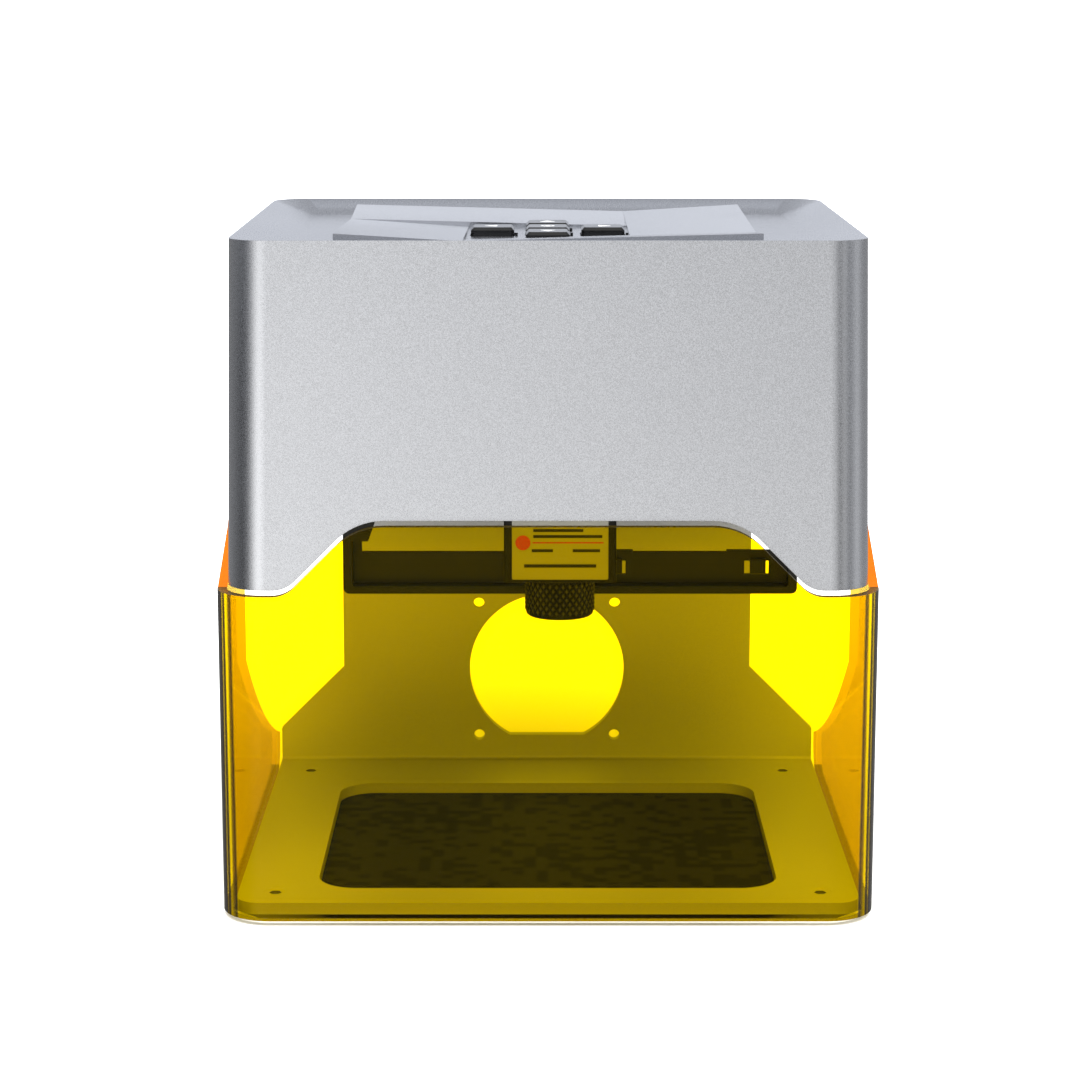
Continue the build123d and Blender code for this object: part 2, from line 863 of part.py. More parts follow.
# ---- X beam ----
def x_beam():
    """Frame with a tray along its foot, two columns and a lintel."""
    limits_y = (beam_y, beam_y + beam_depth)
    beam = block((beam_left, beam_right), limits_y, (beam_bottom, hanger_bottom))
    beam = fillet([e for e in beam.edges().filter_by(Axis.Y) if e.center().Z < beam_bottom + 1], beam_corner)
    inner_x = (beam_left + beam_rim, beam_right - beam_rim)
    back = beam_y + beam_depth - beam_skin
    beam -= block(inner_x, (beam_y - past, back), (beam_bottom + beam_lip, lintel_bottom))
    gusset = outline([
        (inner_x[0], gusset_bottom),
        (beam_left + column_width + gusset_foot, gusset_bottom),
        (beam_left + column_width + gusset_top, gusset_bottom + gusset_slope),
        (beam_left + column_width + gusset_top, gusset_bottom + gusset_height),
        (inner_x[0], gusset_bottom + gusset_height),
    ])
    beam += prism_y(gusset, (beam_y, beam_y + beam_skin))
    opening = (beam_left + column_width, beam_right - column_width)
    beam -= block(opening, around(back, beam_skin + past), (tray_top, lintel_bottom))
    half_x, half_z = tray_window_width / 2, tray_window_height / 2
    through = (back - past, back + beam_skin + past)
    for x in (tray_window_middle, tray_window_right):
        beam -= block(around(x, half_x), through, around(tray_window_z, half_z))
        tab_z = around(tray_window_z + tab_rise, half_z)
        tab = block(around(x, half_x - tab_inset), (back - tab_out, back + gap), tab_z)
        slot = (back - tab_out - past, back - tab_out / 2)
        beam += tab - block(around(x, half_x - tab_slot_inset), slot, around(tray_window_z, half_x * 2))
        top = (tray_top - tab_out, tray_top + fin_over_tray)
        beam += block(around(x, half_x - tab_inset), (back - tab_out / 2, back + tab_rise), top)
    return beam


def x_blocks():
    """End blocks that hold the X rods behind the columns."""
    limits_y = (beam_y + beam_depth, beam_y + beam_depth + x_block_depth)
    limits_z = (x_rod_low - x_block_over, x_rod_high + x_block_over)
    blocks = []
    for x in ((beam_left, beam_left + x_block_length), (beam_right - x_block_length, beam_right)):
        body = block(x, limits_y, limits_z)
        for z in (x_rod_low, x_rod_high):
            body -= bar_x(x_rod_radius + sliding, x, rod_axis_y, z)
        blocks.append(body - bar_x(screw_radius + running, x, rod_axis_y, screw_z))
    return together(blocks)


def x_rods():
    """Two rods along X."""
    limits = (beam_left + x_rod_inset, beam_right - x_rod_inset)
    return together([bar_x(x_rod_radius, limits, rod_axis_y, z) for z in (x_rod_low, x_rod_high)])


def x_motor():
    """Small can stepper outside the left end block."""
    motor = bar_x(x_motor_radius, (beam_left - x_motor_length, beam_left), rod_axis_y, screw_z)
    motor = fillet(motor.edges().filter_by(GeomType.CIRCLE), x_motor_round)
    bore = (beam_left - motor_bore, beam_left + past)
    return motor - bar_x(screw_radius + rotor_gap, bore, rod_axis_y, screw_z)


def x_screw():
    """Lead screw of the X stage."""
    return bar_x(screw_radius, (beam_left - motor_bore + gap, beam_right - x_rod_inset), rod_axis_y, screw_z)


# ---- laser module ----
def x_slider():
    """Block on the X rods that reaches through the beam to the laser."""
    limits_x = around(laser_x, slider_width / 2)
    back = laser_axis_y + laser_size / 2
    limits_y = (back, rod_axis_y + x_rod_radius + x_bush_wall + slider_wall)
    body = block(limits_x, limits_y, (x_rod_low - x_block_over, x_rod_high + x_block_over))
    for z in (x_rod_low, x_rod_high):
        body -= bar_x(x_rod_radius + x_bush_wall, limits_x, rod_axis_y, z)
    return body - bar_x(screw_radius + x_bush_wall, limits_x, rod_axis_y, screw_z)


def x_bushings():
    """Bronze bushes in the slider, two on each rod."""
    bushes = []
    for z in (x_rod_low, x_rod_high):
        for side in (-1, 1):
            limits = around(laser_x + side * (slider_width - x_bush_length) / 2, x_bush_length / 2)
            bush = bar_x(x_rod_radius + x_bush_wall, limits, rod_axis_y, z)
            bushes.append(bush - bar_x(x_rod_radius + sliding, limits, rod_axis_y, z))
    return together(bushes)


def x_nut():
    """Brass nut of the X screw."""
    limits = around(laser_x, x_nut_length / 2)
    return bar_x(screw_radius + x_bush_wall, limits, rod_axis_y, screw_z) - bar_x(
        screw_radius + running, limits, rod_axis_y, screw_z)


def laser_heatsink():
    """Finned body of the laser module."""
    half = laser_size / 2
    body = block(around(laser_x, half), around(laser_axis_y, half), (laser_bottom, laser_top))
    body = chamfer(body.edges().filter_by(Axis.Z), block_chamfer)
    pitch = (laser_size - 2 * fin_border) / fin_count
    slot_z = (laser_bottom + fin_border, laser_top + past)
    for index in range(fin_count):
        y = laser_axis_y - half + fin_border + (index + 0.5) * pitch
        for side in (-1, 1):
            x = laser_x + side * half
            body -= block(around(x, fin_depth), around(y, fin_slot / 2), slot_z)
    seat = (laser_bottom - past, laser_bottom + barrel_seat)
    body -= bar_z(barrel_radius + sliding, laser_x, laser_axis_y, seat)
    castle = bar_z(castle_radius, laser_x, laser_axis_y, (laser_bottom - castle_height, laser_bottom))
    below = (laser_bottom - past, laser_bottom)
    castle -= bar_z(barrel_radius + gap, laser_x, laser_axis_y, below)
    notch = around(0, castle_notch / 2)
    for index in range(castle_count):
        turn = Pos(laser_x, laser_axis_y, 0) * Rot(0, 0, index * 360 / castle_count)
        castle -= turn * block((barrel_radius, 2 * barrel_radius), notch, below)
    return body + castle


def laser_label():
    """Plate on the front of the laser module."""
    front = laser_axis_y - laser_size / 2
    low = laser_bottom + label_rise
    limits_z = (low, low + label_height)
    plate = block(around(laser_x, label_width / 2), (front - label_thickness, front), limits_z)
    return fillet(plate.edges().filter_by(Axis.Y), label_thickness)


def lens_barrel():
    """Fixed tube that carries the lens."""
    low, high = laser_bottom - ring_height - ring_gap + barrel_short, laser_bottom + barrel_grip
    tube = bar_z(barrel_radius, laser_x, laser_axis_y, (low, high))
    return tube - bar_z(barrel_bore, laser_x, laser_axis_y, (low - past, high + past))


def focus_lens():
    """Round lens held in the barrel."""
    low = laser_bottom - ring_height - ring_gap + 2 * barrel_short
    lens = bar_z(barrel_bore, laser_x, laser_axis_y, (low, low + lens_thickness))
    return chamfer(lens.edges().filter_by(GeomType.CIRCLE), lens_chamfer)


def focus_ring():
    """Knurled ring that turns on the barrel."""
    top = laser_bottom - ring_gap
    ring = bar_z(ring_radius, laser_x, laser_axis_y, (top - ring_height, top))
    ring = chamfer(ring.edges().filter_by(GeomType.CIRCLE), ring_chamfer)
    through = (top - ring_height - past, top + past)
    return ring - bar_z(barrel_radius + running, laser_x, laser_axis_y, through)


def fan_frame():
    """Square frame of the cooling fan, with spokes and a pin."""
    half = laser_size / 2
    low, high = laser_top, laser_top + fan_height
    frame = block(around(laser_x, half), around(laser_axis_y, half), (low, high))
    frame = fillet(frame.edges().filter_by(Axis.Z), fan_corner)
    frame -= bar_z(fan_bore, laser_x, laser_axis_y, (low - past, high + past))
    foot = (low, low + spoke_height)
    hub = bar_z(hub_radius, laser_x, laser_axis_y, foot)
    for index in range(spoke_count):
        turn = Pos(laser_x, laser_axis_y, 0) * Rot(0, 0, (index + 0.25) * 360 / spoke_count)
        hub += turn * block((hub_radius - past, fan_bore + gap), around(0, spoke_width / 2), foot)
    pin = bar_z(pin_radius, laser_x, laser_axis_y, (low, high - pin_short))
    return frame + hub + pin


def fan_rotor():
    """Hub and blades of the cooling fan."""
    low = laser_top + rotor_lift
    high = low + rotor_height
    hub = bar_z(hub_radius, 0, 0, (low, high))
    for index in range(blade_count):
        middle = (hub_radius + rotor_radius - blade_tip_gap) / 2
        blade = Pos(middle, 0, (low + high) / 2) * Rot(blade_tilt, 0, 0)
        blade = blade * Box(rotor_radius - hub_radius, blade_chord, blade_thickness)
        hub += Rot(0, 0, index * 360 / blade_count) * blade
    rotor = hub & bar_z(rotor_radius, 0, 0, (low, high))
    rotor -= bar_z(pin_radius + running, 0, 0, (low - past, high - past))
    return Pos(laser_x, laser_axis_y, 0) * rotor


# ---- the list of nodes ----
nodes = {
    "chassis_plate": chassis_plate(),
    "work_plate": work_plate(),
    "foot_pads": foot_pads(),
    "foot_screws": foot_screws(),
    "hood_shell": hood_shell(),
    "hood_screws": hood_screws(),
    "control_panel": control_panel(),
    "indicator_lamps": indicator_lamps(),
    "control_board": control_board(),
    "board_standoffs": board_standoffs(),
    "tact_switches": tact_switches(),
    "dc_jack": dc_jack(),
    "usb_socket": usb_socket(),
    "visor_cover": visor_cover(),
    "pivot_screws": pivot_screws(),
    "pivot_washers": pivot_washers(),
    "pivot_nuts": pivot_nuts(),
    "front_rod_holders": holders(front=True),
    "rear_rod_holders": holders(front=False),
    "y_rods": y_rods(),
    "y_motor": y_motor(),
    "y_screw": y_screw(),
    "y_slide_left": y_slide(-1),
    "y_slide_right": y_slide(1),
    "y_bushings": y_bushings(),
    "y_nut": y_nut(),
    "beam_hangers": beam_hangers(),
    "x_beam": x_beam(),
    "x_blocks": x_blocks(),
    "x_rods": x_rods(),
    "x_motor": x_motor(),
    "x_screw": x_screw(),
    "x_slider": x_slider(),
    "x_bushings": x_bushings(),
    "x_nut": x_nut(),
    "laser_heatsink": laser_heatsink(),
    "laser_label": laser_label(),
    "lens_barrel": lens_barrel(),
    "focus_lens": focus_lens(),
    "focus_ring": focus_ring(),
    "fan_frame": fan_frame(),
    "fan_rotor": fan_rotor(),
}
for name, (column, row) in button_places.items():
    nodes["button_" + name] = button(column, row)

os.makedirs("parts", exist_ok=True)
for name, shape in nodes.items():
    export_step(shape, f"parts/{name}.step")
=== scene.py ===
"""Looks of a desktop laser cutter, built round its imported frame."""

import json
import logging
import math
from dataclasses import dataclass
from enum import Enum
from typing import Iterable, Optional, Sequence, Union

import bpy
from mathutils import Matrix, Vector


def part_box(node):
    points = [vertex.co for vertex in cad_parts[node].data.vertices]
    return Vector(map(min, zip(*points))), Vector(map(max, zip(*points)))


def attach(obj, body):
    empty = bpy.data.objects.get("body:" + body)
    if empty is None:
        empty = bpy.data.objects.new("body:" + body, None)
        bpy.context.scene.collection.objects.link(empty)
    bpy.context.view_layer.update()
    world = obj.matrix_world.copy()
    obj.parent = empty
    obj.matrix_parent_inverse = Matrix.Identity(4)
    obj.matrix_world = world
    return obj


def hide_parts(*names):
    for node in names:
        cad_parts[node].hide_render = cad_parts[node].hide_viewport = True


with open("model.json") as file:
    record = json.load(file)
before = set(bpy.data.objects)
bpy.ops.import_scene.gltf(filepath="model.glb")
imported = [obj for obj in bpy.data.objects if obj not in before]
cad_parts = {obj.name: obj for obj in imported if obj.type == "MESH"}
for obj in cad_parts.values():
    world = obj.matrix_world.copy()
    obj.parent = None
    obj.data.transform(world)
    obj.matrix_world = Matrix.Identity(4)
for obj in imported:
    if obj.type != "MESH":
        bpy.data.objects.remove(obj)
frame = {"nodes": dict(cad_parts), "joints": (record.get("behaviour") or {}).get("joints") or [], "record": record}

MM = 0.001
LOG = logging.getLogger("laser_cutter")
Point = tuple[float, float]
Triple = tuple[float, float, float]
Piece = bpy.types.Object
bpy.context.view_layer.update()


class Axis(Enum):
    """A row axis, as an index into a vector."""

    X = 0
    Y = 1
    Z = 2


class Body(Enum):
    """Rigid bodies that new pieces ride on."""

    CHASSIS = "chassis"
    VISOR = "visor"
    CARRIAGE = "y_carriage"
    HEAD = "laser_head"
    FOCUS = "focus"


class Icon(Enum):
    """What is printed on a key."""

    UP = 90.0
    DOWN = 270.0
    LEFT = 180.0
    RIGHT = 0.0
    RING = -1.0


# ---------------------------------------------------------------- outlines


@dataclass(frozen=True)
class Corner:
    """One corner of an outline, with the radius that rounds it."""

    u: float
    v: float
    radius: float = 0.0


def rounded(corners: Sequence[Corner], steps: int = 10) -> list[Point]:
    """Turn corners into outline points, with an arc at each rounded one.

    Args:
        corners: The corners in order round the outline.
        steps: Segments of each arc.

    Returns:
        The points of the closed outline.
    """
    points: list[Point] = []
    count = len(corners)
    for index, corner in enumerate(corners):
        here = Vector((corner.u, corner.v))
        if corner.radius <= 0.0:
            points.append((here.x, here.y))
            continue
        before, after = corners[index - 1], corners[(index + 1) % count]
        back = (Vector((before.u, before.v)) - here).normalized()
        ahead = (Vector((after.u, after.v)) - here).normalized()
        half_turn = back.angle(ahead) / 2
        reach = corner.radius / math.tan(half_turn)
        middle = (back + ahead).normalized()
        centre = here + middle * (corner.radius / math.sin(half_turn))
        start, end = here + back * reach - centre, here + ahead * reach - centre
        sweep = math.atan2(start.x * end.y - start.y * end.x, start.dot(end))
        for step in range(steps + 1):
            angle = sweep * step / steps
            turned = Vector((
                start.x * math.cos(angle) - start.y * math.sin(angle),
                start.x * math.sin(angle) + start.y * math.cos(angle),
            ))
            points.append((centre.x + turned.x, centre.y + turned.y))
    return points


def rounded_rectangle(u: Point, v: Point, radius: float, steps: int = 10) -> list[Point]:
    """Outline of a rectangle with four equal rounded corners."""
    return rounded([
        Corner(u[0], v[0], radius), Corner(u[1], v[0], radius),
        Corner(u[1], v[1], radius), Corner(u[0], v[1], radius),
    ], steps)


def rounded_square(x: float, y: float, half: float, radius: float, steps: int) -> list[Point]:
    """Outline of a square about its middle, with rounded corners."""
    return rounded_rectangle((x - half, x + half), (y - half, y + half), radius, steps)


def four_places(low: Sequence[float], high: Sequence[float], inset: float) -> list[Point]:
    """The four corners of a rectangle, moved in by an inset."""
    (u0, v0), (u1, v1) = low[:2], high[:2]
    return [(u, v) for u in (u0 + inset, u1 - inset) for v in (v0 + inset, v1 - inset)]


def mirrored(corners: Sequence[Corner]) -> list[Corner]:
    """Corners on one side, followed by their mirror images in reverse."""
    return list(corners) + [Corner(-c.u, c.v, c.radius) for c in reversed(corners)]


def circle(u: float, v: float, radius: float, steps: int = 48) -> list[Point]:
    """Outline of a circle."""
    turns = (2 * math.pi * step / steps for step in range(steps))
    return [(u + radius * math.cos(a), v + radius * math.sin(a)) for a in turns]


# ---------------------------------------------------------------- modelling


class Bench:
    """Modelling operators, each starting from a clean selection."""

    @staticmethod
    def clear() -> None:
        """Leave edit mode and deselect everything."""
        if bpy.context.object and bpy.context.object.mode != "OBJECT":
            bpy.ops.object.mode_set(mode="OBJECT")
        bpy.ops.object.select_all(action="DESELECT")

    @staticmethod
    def pick(piece: Piece) -> None:
        """Make one object the only selected and the active one."""
        Bench.clear()
        piece.select_set(True)
        bpy.context.view_layer.objects.active = piece

    @staticmethod
    def name(piece: Piece, name: str) -> Piece:
        """Name an object and its mesh."""
        piece.name = piece.data.name = name
        return piece

    @staticmethod
    def prism(
        name: str,
        outline: Sequence[Point],
        along: Axis,
        low: float,
        high: float,
        far_outline: Optional[Sequence[Point]] = None,
    ) -> Piece:
        """Extrude an outline, or loft it to another with as many points.

        Args:
            name: The new piece's name.
            outline: Points in the two axes other than along, in order X, Y, Z.
            along: The axis of extrusion.
            low: Where the outline lies on that axis.
            high: Where it is extruded to.
            far_outline: The outline at the far end, if it differs.

        Returns:
            The closed piece.
        """
        across = [axis.value for axis in Axis if axis is not along]
        Bench.clear()
        bpy.ops.mesh.primitive_circle_add(vertices=len(outline), radius=1.0, fill_type="NGON")
        piece = Bench.name(bpy.context.object, name)

        def place(vertex: bpy.types.MeshVertex, point: Point, level: float) -> None:
            """Set a vertex on its outline point."""
            vertex.co[across[0]], vertex.co[across[1]] = point
            vertex.co[along.value] = level

        def spot(vertex: bpy.types.MeshVertex) -> tuple[float, ...]:
            """Where a vertex is across the axis, rounded so that two can be matched."""
            return tuple(round(vertex.co[a], 7) for a in across)

        for vertex, point in zip(piece.data.vertices, outline):
            place(vertex, point, low)
        step = [0.0, 0.0, 0.0]
        step[along.value] = high - low
        bpy.ops.object.mode_set(mode="EDIT")
        bpy.ops.mesh.select_all(action="SELECT")
        bpy.ops.mesh.extrude_region_move(TRANSFORM_OT_translate={"value": step})
        bpy.ops.object.mode_set(mode="OBJECT")
        if far_outline is not None:
            vertices = list(piece.data.vertices)
            points = {spot(vertex): point for vertex, point in zip(vertices, far_outline)}
            for vertex in vertices[len(outline):]:
                place(vertex, points[spot(vertex)], high)
        Bench.face_out(piece)
        return piece

    @staticmethod
    def box(name: str, low: Sequence[float], high: Sequence[float]) -> Piece:
        """A cube stretched between two corners, with its place in its mesh."""
        Bench.clear()
        middle = [(a + b) / 2 for a, b in zip(low, high)]
        size = [b - a for a, b in zip(low, high)]
        bpy.ops.mesh.primitive_cube_add(size=1.0, location=middle, scale=size)
        piece = Bench.name(bpy.context.object, name)
        bpy.ops.object.transform_apply(location=True, rotation=True, scale=True)
        return piece

    @staticmethod
    def bar(
        name: str, radius: float, along: Axis, low: float, high: float,
        centre: Point, sides: int = 48, end_radius: Optional[float] = None,
    ) -> Piece:
        """A round bar, or a cone, between two places on an axis.

        Args:
            name: The new piece's name.
            radius: Radius at the low end.
            along: The bar's axis.
            low: The low end.
            high: The high end.
            centre: The axis's place in the other two directions.
            sides: Segments round the bar.
            end_radius: Radius at the high end, if it tapers.

        Returns:
            The closed piece.
        """
        far = None if end_radius is None else circle(*centre, end_radius, sides)
        return Bench.prism(name, circle(*centre, radius, sides), along, low, high, far)

    @staticmethod
    def face_out(piece: Piece) -> None:
        """Merge doubles and turn every face outwards."""
        Bench.pick(piece)
        bpy.ops.object.mode_set(mode="EDIT")
        bpy.ops.mesh.select_all(action="SELECT")
        bpy.ops.mesh.remove_doubles(threshold=1e-6)
        bpy.ops.mesh.normals_make_consistent(inside=False)
        bpy.ops.object.mode_set(mode="OBJECT")

    @staticmethod
    def combine(piece: Piece, tools: Iterable[Piece], how: str) -> Piece:
        """Apply one Boolean for each tool, and remove the tools."""
        for tool in tools:
            Bench.pick(piece)
            modifier = piece.modifiers.new("tool", "BOOLEAN")
            modifier.operation, modifier.object, modifier.solver = how, tool, "EXACT"
            bpy.ops.object.modifier_apply(modifier=modifier.name)
            bpy.data.objects.remove(tool)
        return piece

    @staticmethod
    def cut(piece: Piece, *tools: Piece) -> Piece:
        """Cut tools away from a piece."""
        return Bench.combine(piece, tools, "DIFFERENCE")

    @staticmethod
    def unite(piece: Piece, *tools: Piece) -> Piece:
        """Fuse tools with a piece."""
        return Bench.combine(piece, tools, "UNION")

    @staticmethod
    def keep_inside(piece: Piece, tool: Piece) -> Piece:
        """Keep what a piece and a tool share."""
        return Bench.combine(piece, [tool], "INTERSECT")

    @staticmethod
    def join(pieces: Sequence[Piece], name: str) -> Piece:
        """Put separate shells in one piece."""
        Bench.clear()
        for piece in pieces:
            piece.select_set(True)
        bpy.context.view_layer.objects.active = pieces[0]
        if len(pieces) > 1:
            bpy.ops.object.join()
        return Bench.name(bpy.context.object, name)

    @staticmethod
    def copy(piece: Piece, step: Triple, name: str) -> Piece:
        """Copy a piece with its own mesh, moved by a step."""
        twin = piece.copy()
        twin.data = piece.data.copy()
        bpy.context.scene.collection.objects.link(twin)
        Bench.pick(twin)
        twin.location = step
        bpy.ops.object.transform_apply(location=True, rotation=True, scale=True)
        return Bench.name(twin, name)

    @staticmethod
    def soften(piece: Piece, width: float, steps: int = 2, angle: float = 32.0) -> None:
        """Bevel every edge sharper than an angle, and shade the result."""
        Bench.pick(piece)
        bevel = piece.modifiers.new("edges", "BEVEL")
        bevel.width, bevel.segments, bevel.limit_method = width, steps, "ANGLE"
        bevel.angle_limit = math.radians(angle)
        bevel.use_clamp_overlap = True
        bevel.harden_normals = False
        bpy.ops.object.modifier_apply(modifier=bevel.name)
        Bench.shade(piece)

    @staticmethod
    def shade(piece: Piece, angle: float = 40.0) -> None:
        """Shade smoothly up to an angle, with flat faces kept flat."""
        Bench.pick(piece)
        bpy.ops.object.shade_smooth_by_angle(angle=math.radians(angle))
        weighted = piece.modifiers.new("flats", "WEIGHTED_NORMAL")
        weighted.keep_sharp = True
        bpy.ops.object.modifier_apply(modifier=weighted.name)


# ---------------------------------------------------------------- materials


Value = Union[float, Sequence[float], "Wire"]


class Wire:
    """A shader socket whose arithmetic adds Math nodes."""

    def __init__(self, sheet: "Sheet", socket: bpy.types.NodeSocket) -> None:
        """Keep the socket and the node tree that it is in."""
        self.sheet = sheet
        self.socket = socket

    def maths(self, operation: str, other: Value = 0.0, swapped: bool = False) -> "Wire":
        """Add one Math node, on this and another value or the other way round."""
        values = (other, self) if swapped else (self, other)
        made = self.sheet.node(
            "ShaderNodeMath", {"operation": operation}, dict(enumerate(values)))
        return Wire(self.sheet, made.outputs[0])

    def __add__(self, other: Value) -> "Wire":
        """Sum."""
        return self.maths("ADD", other)

    def __radd__(self, other: Value) -> "Wire":
        """Sum, from the other side."""
        return self.maths("ADD", other, True)

    def __sub__(self, other: Value) -> "Wire":
        """Difference."""
        return self.maths("SUBTRACT", other)

    def __rsub__(self, other: Value) -> "Wire":
        """Difference, from the other side."""
        return self.maths("SUBTRACT", other, True)

    def __mul__(self, other: Value) -> "Wire":
        """Product."""
        return self.maths("MULTIPLY", other)

    def __rmul__(self, other: Value) -> "Wire":
        """Product, from the other side."""
        return self.maths("MULTIPLY", other, True)

    def __pow__(self, other: Value) -> "Wire":
        """Power."""
        return self.maths("POWER", other)

    def __gt__(self, other: Value) -> "Wire":
        """One where this is greater, otherwise zero."""
        return self.maths("GREATER_THAN", other)

    def __lt__(self, other: Value) -> "Wire":
        """One where this is less, otherwise zero."""
        return self.maths("LESS_THAN", other)

    def __abs__(self) -> "Wire":
        """Size without sign."""
        return self.maths("ABSOLUTE")

    def over(self, low: float, high: float) -> "Wire":
        """Map low to zero and high to one, and stay between."""
        made = self.sheet.node(
            "ShaderNodeMapRange", {"clamp": True},
            {"Value": self, "From Min": low, "From Max": high, "To Min": 0.0, "To Max": 1.0})
        return Wire(self.sheet, made.outputs[0])


class Sheet:
    """The node tree of one material, or of the world."""

    def __init__(self, owner: Union[bpy.types.Material, bpy.types.World]) -> None:
        """Start from an empty tree with its output."""
        owner.use_nodes = True
        self.tree = owner.node_tree
        self.tree.nodes.clear()
        owner_kind = "World" if isinstance(owner, bpy.types.World) else "Material"
        self.output = self.tree.nodes.new(f"ShaderNodeOutput{owner_kind}")

    def node(
        self, kind: str, settings: Optional[dict] = None, sockets: Optional[dict] = None,
    ) -> bpy.types.Node:
        """Add a node.

        Args:
            kind: The node's type.
            settings: Its own settings, set first; stops is a ramp's list.
            sockets: Values or links, by the socket's name or number.

        Returns:
            The new node.
        """
        made = self.tree.nodes.new(kind)
        for key, value in (settings or {}).items():
            if key == "stops":
                self._ramp(made, value)
            else:
                setattr(made, key, value)
        for key, value in (sockets or {}).items():
            socket = made.inputs[key]
            if isinstance(value, Wire):
                self.tree.links.new(value.socket, socket)
            elif isinstance(value, bpy.types.NodeSocket):
                self.tree.links.new(value, socket)
            else:
                socket.default_value = value
        return made

    @staticmethod
    def _ramp(made: bpy.types.Node, stops: Sequence[tuple[float, Sequence[float]]]) -> None:
        """Set the stops of a colour ramp."""
        elements = made.color_ramp.elements
        while len(elements) < len(stops):
            elements.new(0.5)
        for element, (place, colour) in zip(elements, stops):
            element.position = place
            element.color = (*colour, 1.0)

    def wire(self, made: bpy.types.Node, output: Union[int, str] = 0) -> Wire:
        """Wrap one output of a node."""
        return Wire(self, made.outputs[output])

    def place(self, scale: Triple = (1.0, 1.0, 1.0), at: Triple = (0.0, 0.0, 0.0)) -> Wire:
        """Object coordinates, scaled and moved."""
        coordinates = self.node("ShaderNodeTexCoord")
        mapping = self.node("ShaderNodeMapping", None, {
            "Vector": coordinates.outputs["Object"], "Scale": scale, "Location": at})
        return self.wire(mapping)

    def parts(self, vector: Wire) -> tuple[Wire, Wire, Wire]:
        """The three parts of a vector."""
        made = self.node("ShaderNodeSeparateXYZ", None, {0: vector})
        return self.wire(made, 0), self.wire(made, 1), self.wire(made, 2)

    def noise(self, vector: Wire, scale: float, detail: float = 3.0, rough: float = 0.55) -> Wire:
        """Soft noise between zero and one."""
        made = self.node("ShaderNodeTexNoise", None, {
            "Vector": vector, "Scale": scale, "Detail": detail, "Roughness": rough})
        return self.wire(made, 0)

    def cells(self, vector: Wire, scale: float) -> Wire:
        """Distance from the middle of the nearest cell."""
        made = self.node("ShaderNodeTexVoronoi", None, {"Vector": vector, "Scale": scale})
        return self.wire(made, "Distance")

    def blend(self, factor: Value, first: Value, second: Value) -> Wire:
        """Mix two colours."""
        made = self.node("ShaderNodeMix", {"data_type": "RGBA"}, {
            0: factor, 6: self._colour(first), 7: self._colour(second)})
        return self.wire(made, 2)

    @staticmethod
    def _colour(value: Value) -> Value:
        """Add an alpha of one to a plain colour."""
        return value if isinstance(value, Wire) or len(value) == 4 else (*value, 1.0)

    def bump(self, height: Wire, strength: float, depth: float) -> Wire:
        """Normal tilted by a height."""
        made = self.node(
            "ShaderNodeBump", None, {"Strength": strength, "Distance": depth, "Height": height})
        return self.wire(made)

    def principled(self, sockets: dict) -> Wire:
        """A Principled shader."""
        fixed = {
            name: self._colour(value) if "Color" in name else value
            for name, value in sockets.items()}
        return self.wire(self.node("ShaderNodeBsdfPrincipled", None, fixed))

    def finish(self, shader: Wire) -> None:
        """Link a shader to the output."""
        self.tree.links.new(shader.socket, self.output.inputs["Surface"])


@dataclass(frozen=True)
class Finish:
    """What every finish has: a name and a way to draw itself."""

    name: str

    def draw(self, sheet: Sheet) -> Wire:
        """Return the shader of this finish."""
        raise NotImplementedError

    def material(self) -> bpy.types.Material:
        """Make the material once, and return the same one afterwards."""
        name = f"{self.name}_look"
        made = bpy.data.materials.get(name)
        if made is None:
            made = bpy.data.materials.new(name)
            sheet = Sheet(made)
            sheet.finish(self.draw(sheet))
        return made


@dataclass(frozen=True)
class BlastedMetal(Finish):
    """Bead-blasted, clear anodised aluminium with a fine sparkle."""

    colour: Triple = (0.56, 0.565, 0.58)
    roughness: float = 0.27
    grain: float = 3900.0
    contrast: float = 0.20
    metallic: float = 1.0

    def draw(self, sheet: Sheet) -> Wire:
        """Fine pits, a soft cloudiness and slight handling marks."""
        place = sheet.place()
        pits = sheet.noise(place, self.grain, 2.0, 0.6)
        sparkle = sheet.cells(place, self.grain * 0.8)
        cloud = sheet.noise(place, 16.0, 3.0, 0.5)
        smudge = sheet.noise(sheet.place((1.0, 1.0, 0.35)), 38.0, 4.0, 0.62).over(0.55, 0.78)
        speckle = pits.over(0.32, 0.68)
        dark = tuple(c * (1.0 - self.contrast) for c in self.colour)
        light = tuple(min(1.0, c * (1.0 + self.contrast)) for c in self.colour)
        colour = sheet.blend(speckle, dark, light)
        colour = sheet.blend(cloud * 0.10, colour, (0.40, 0.41, 0.43))
        rough = self.roughness + (speckle - 0.5) * 0.10 + smudge * 0.05 + (cloud - 0.5) * 0.06
        height = pits * 0.7 + sparkle * 0.3
        return sheet.principled({
            "Base Color": colour, "Metallic": self.metallic, "Roughness": rough,
            "Normal": sheet.bump(height, 0.16, 0.00010)})


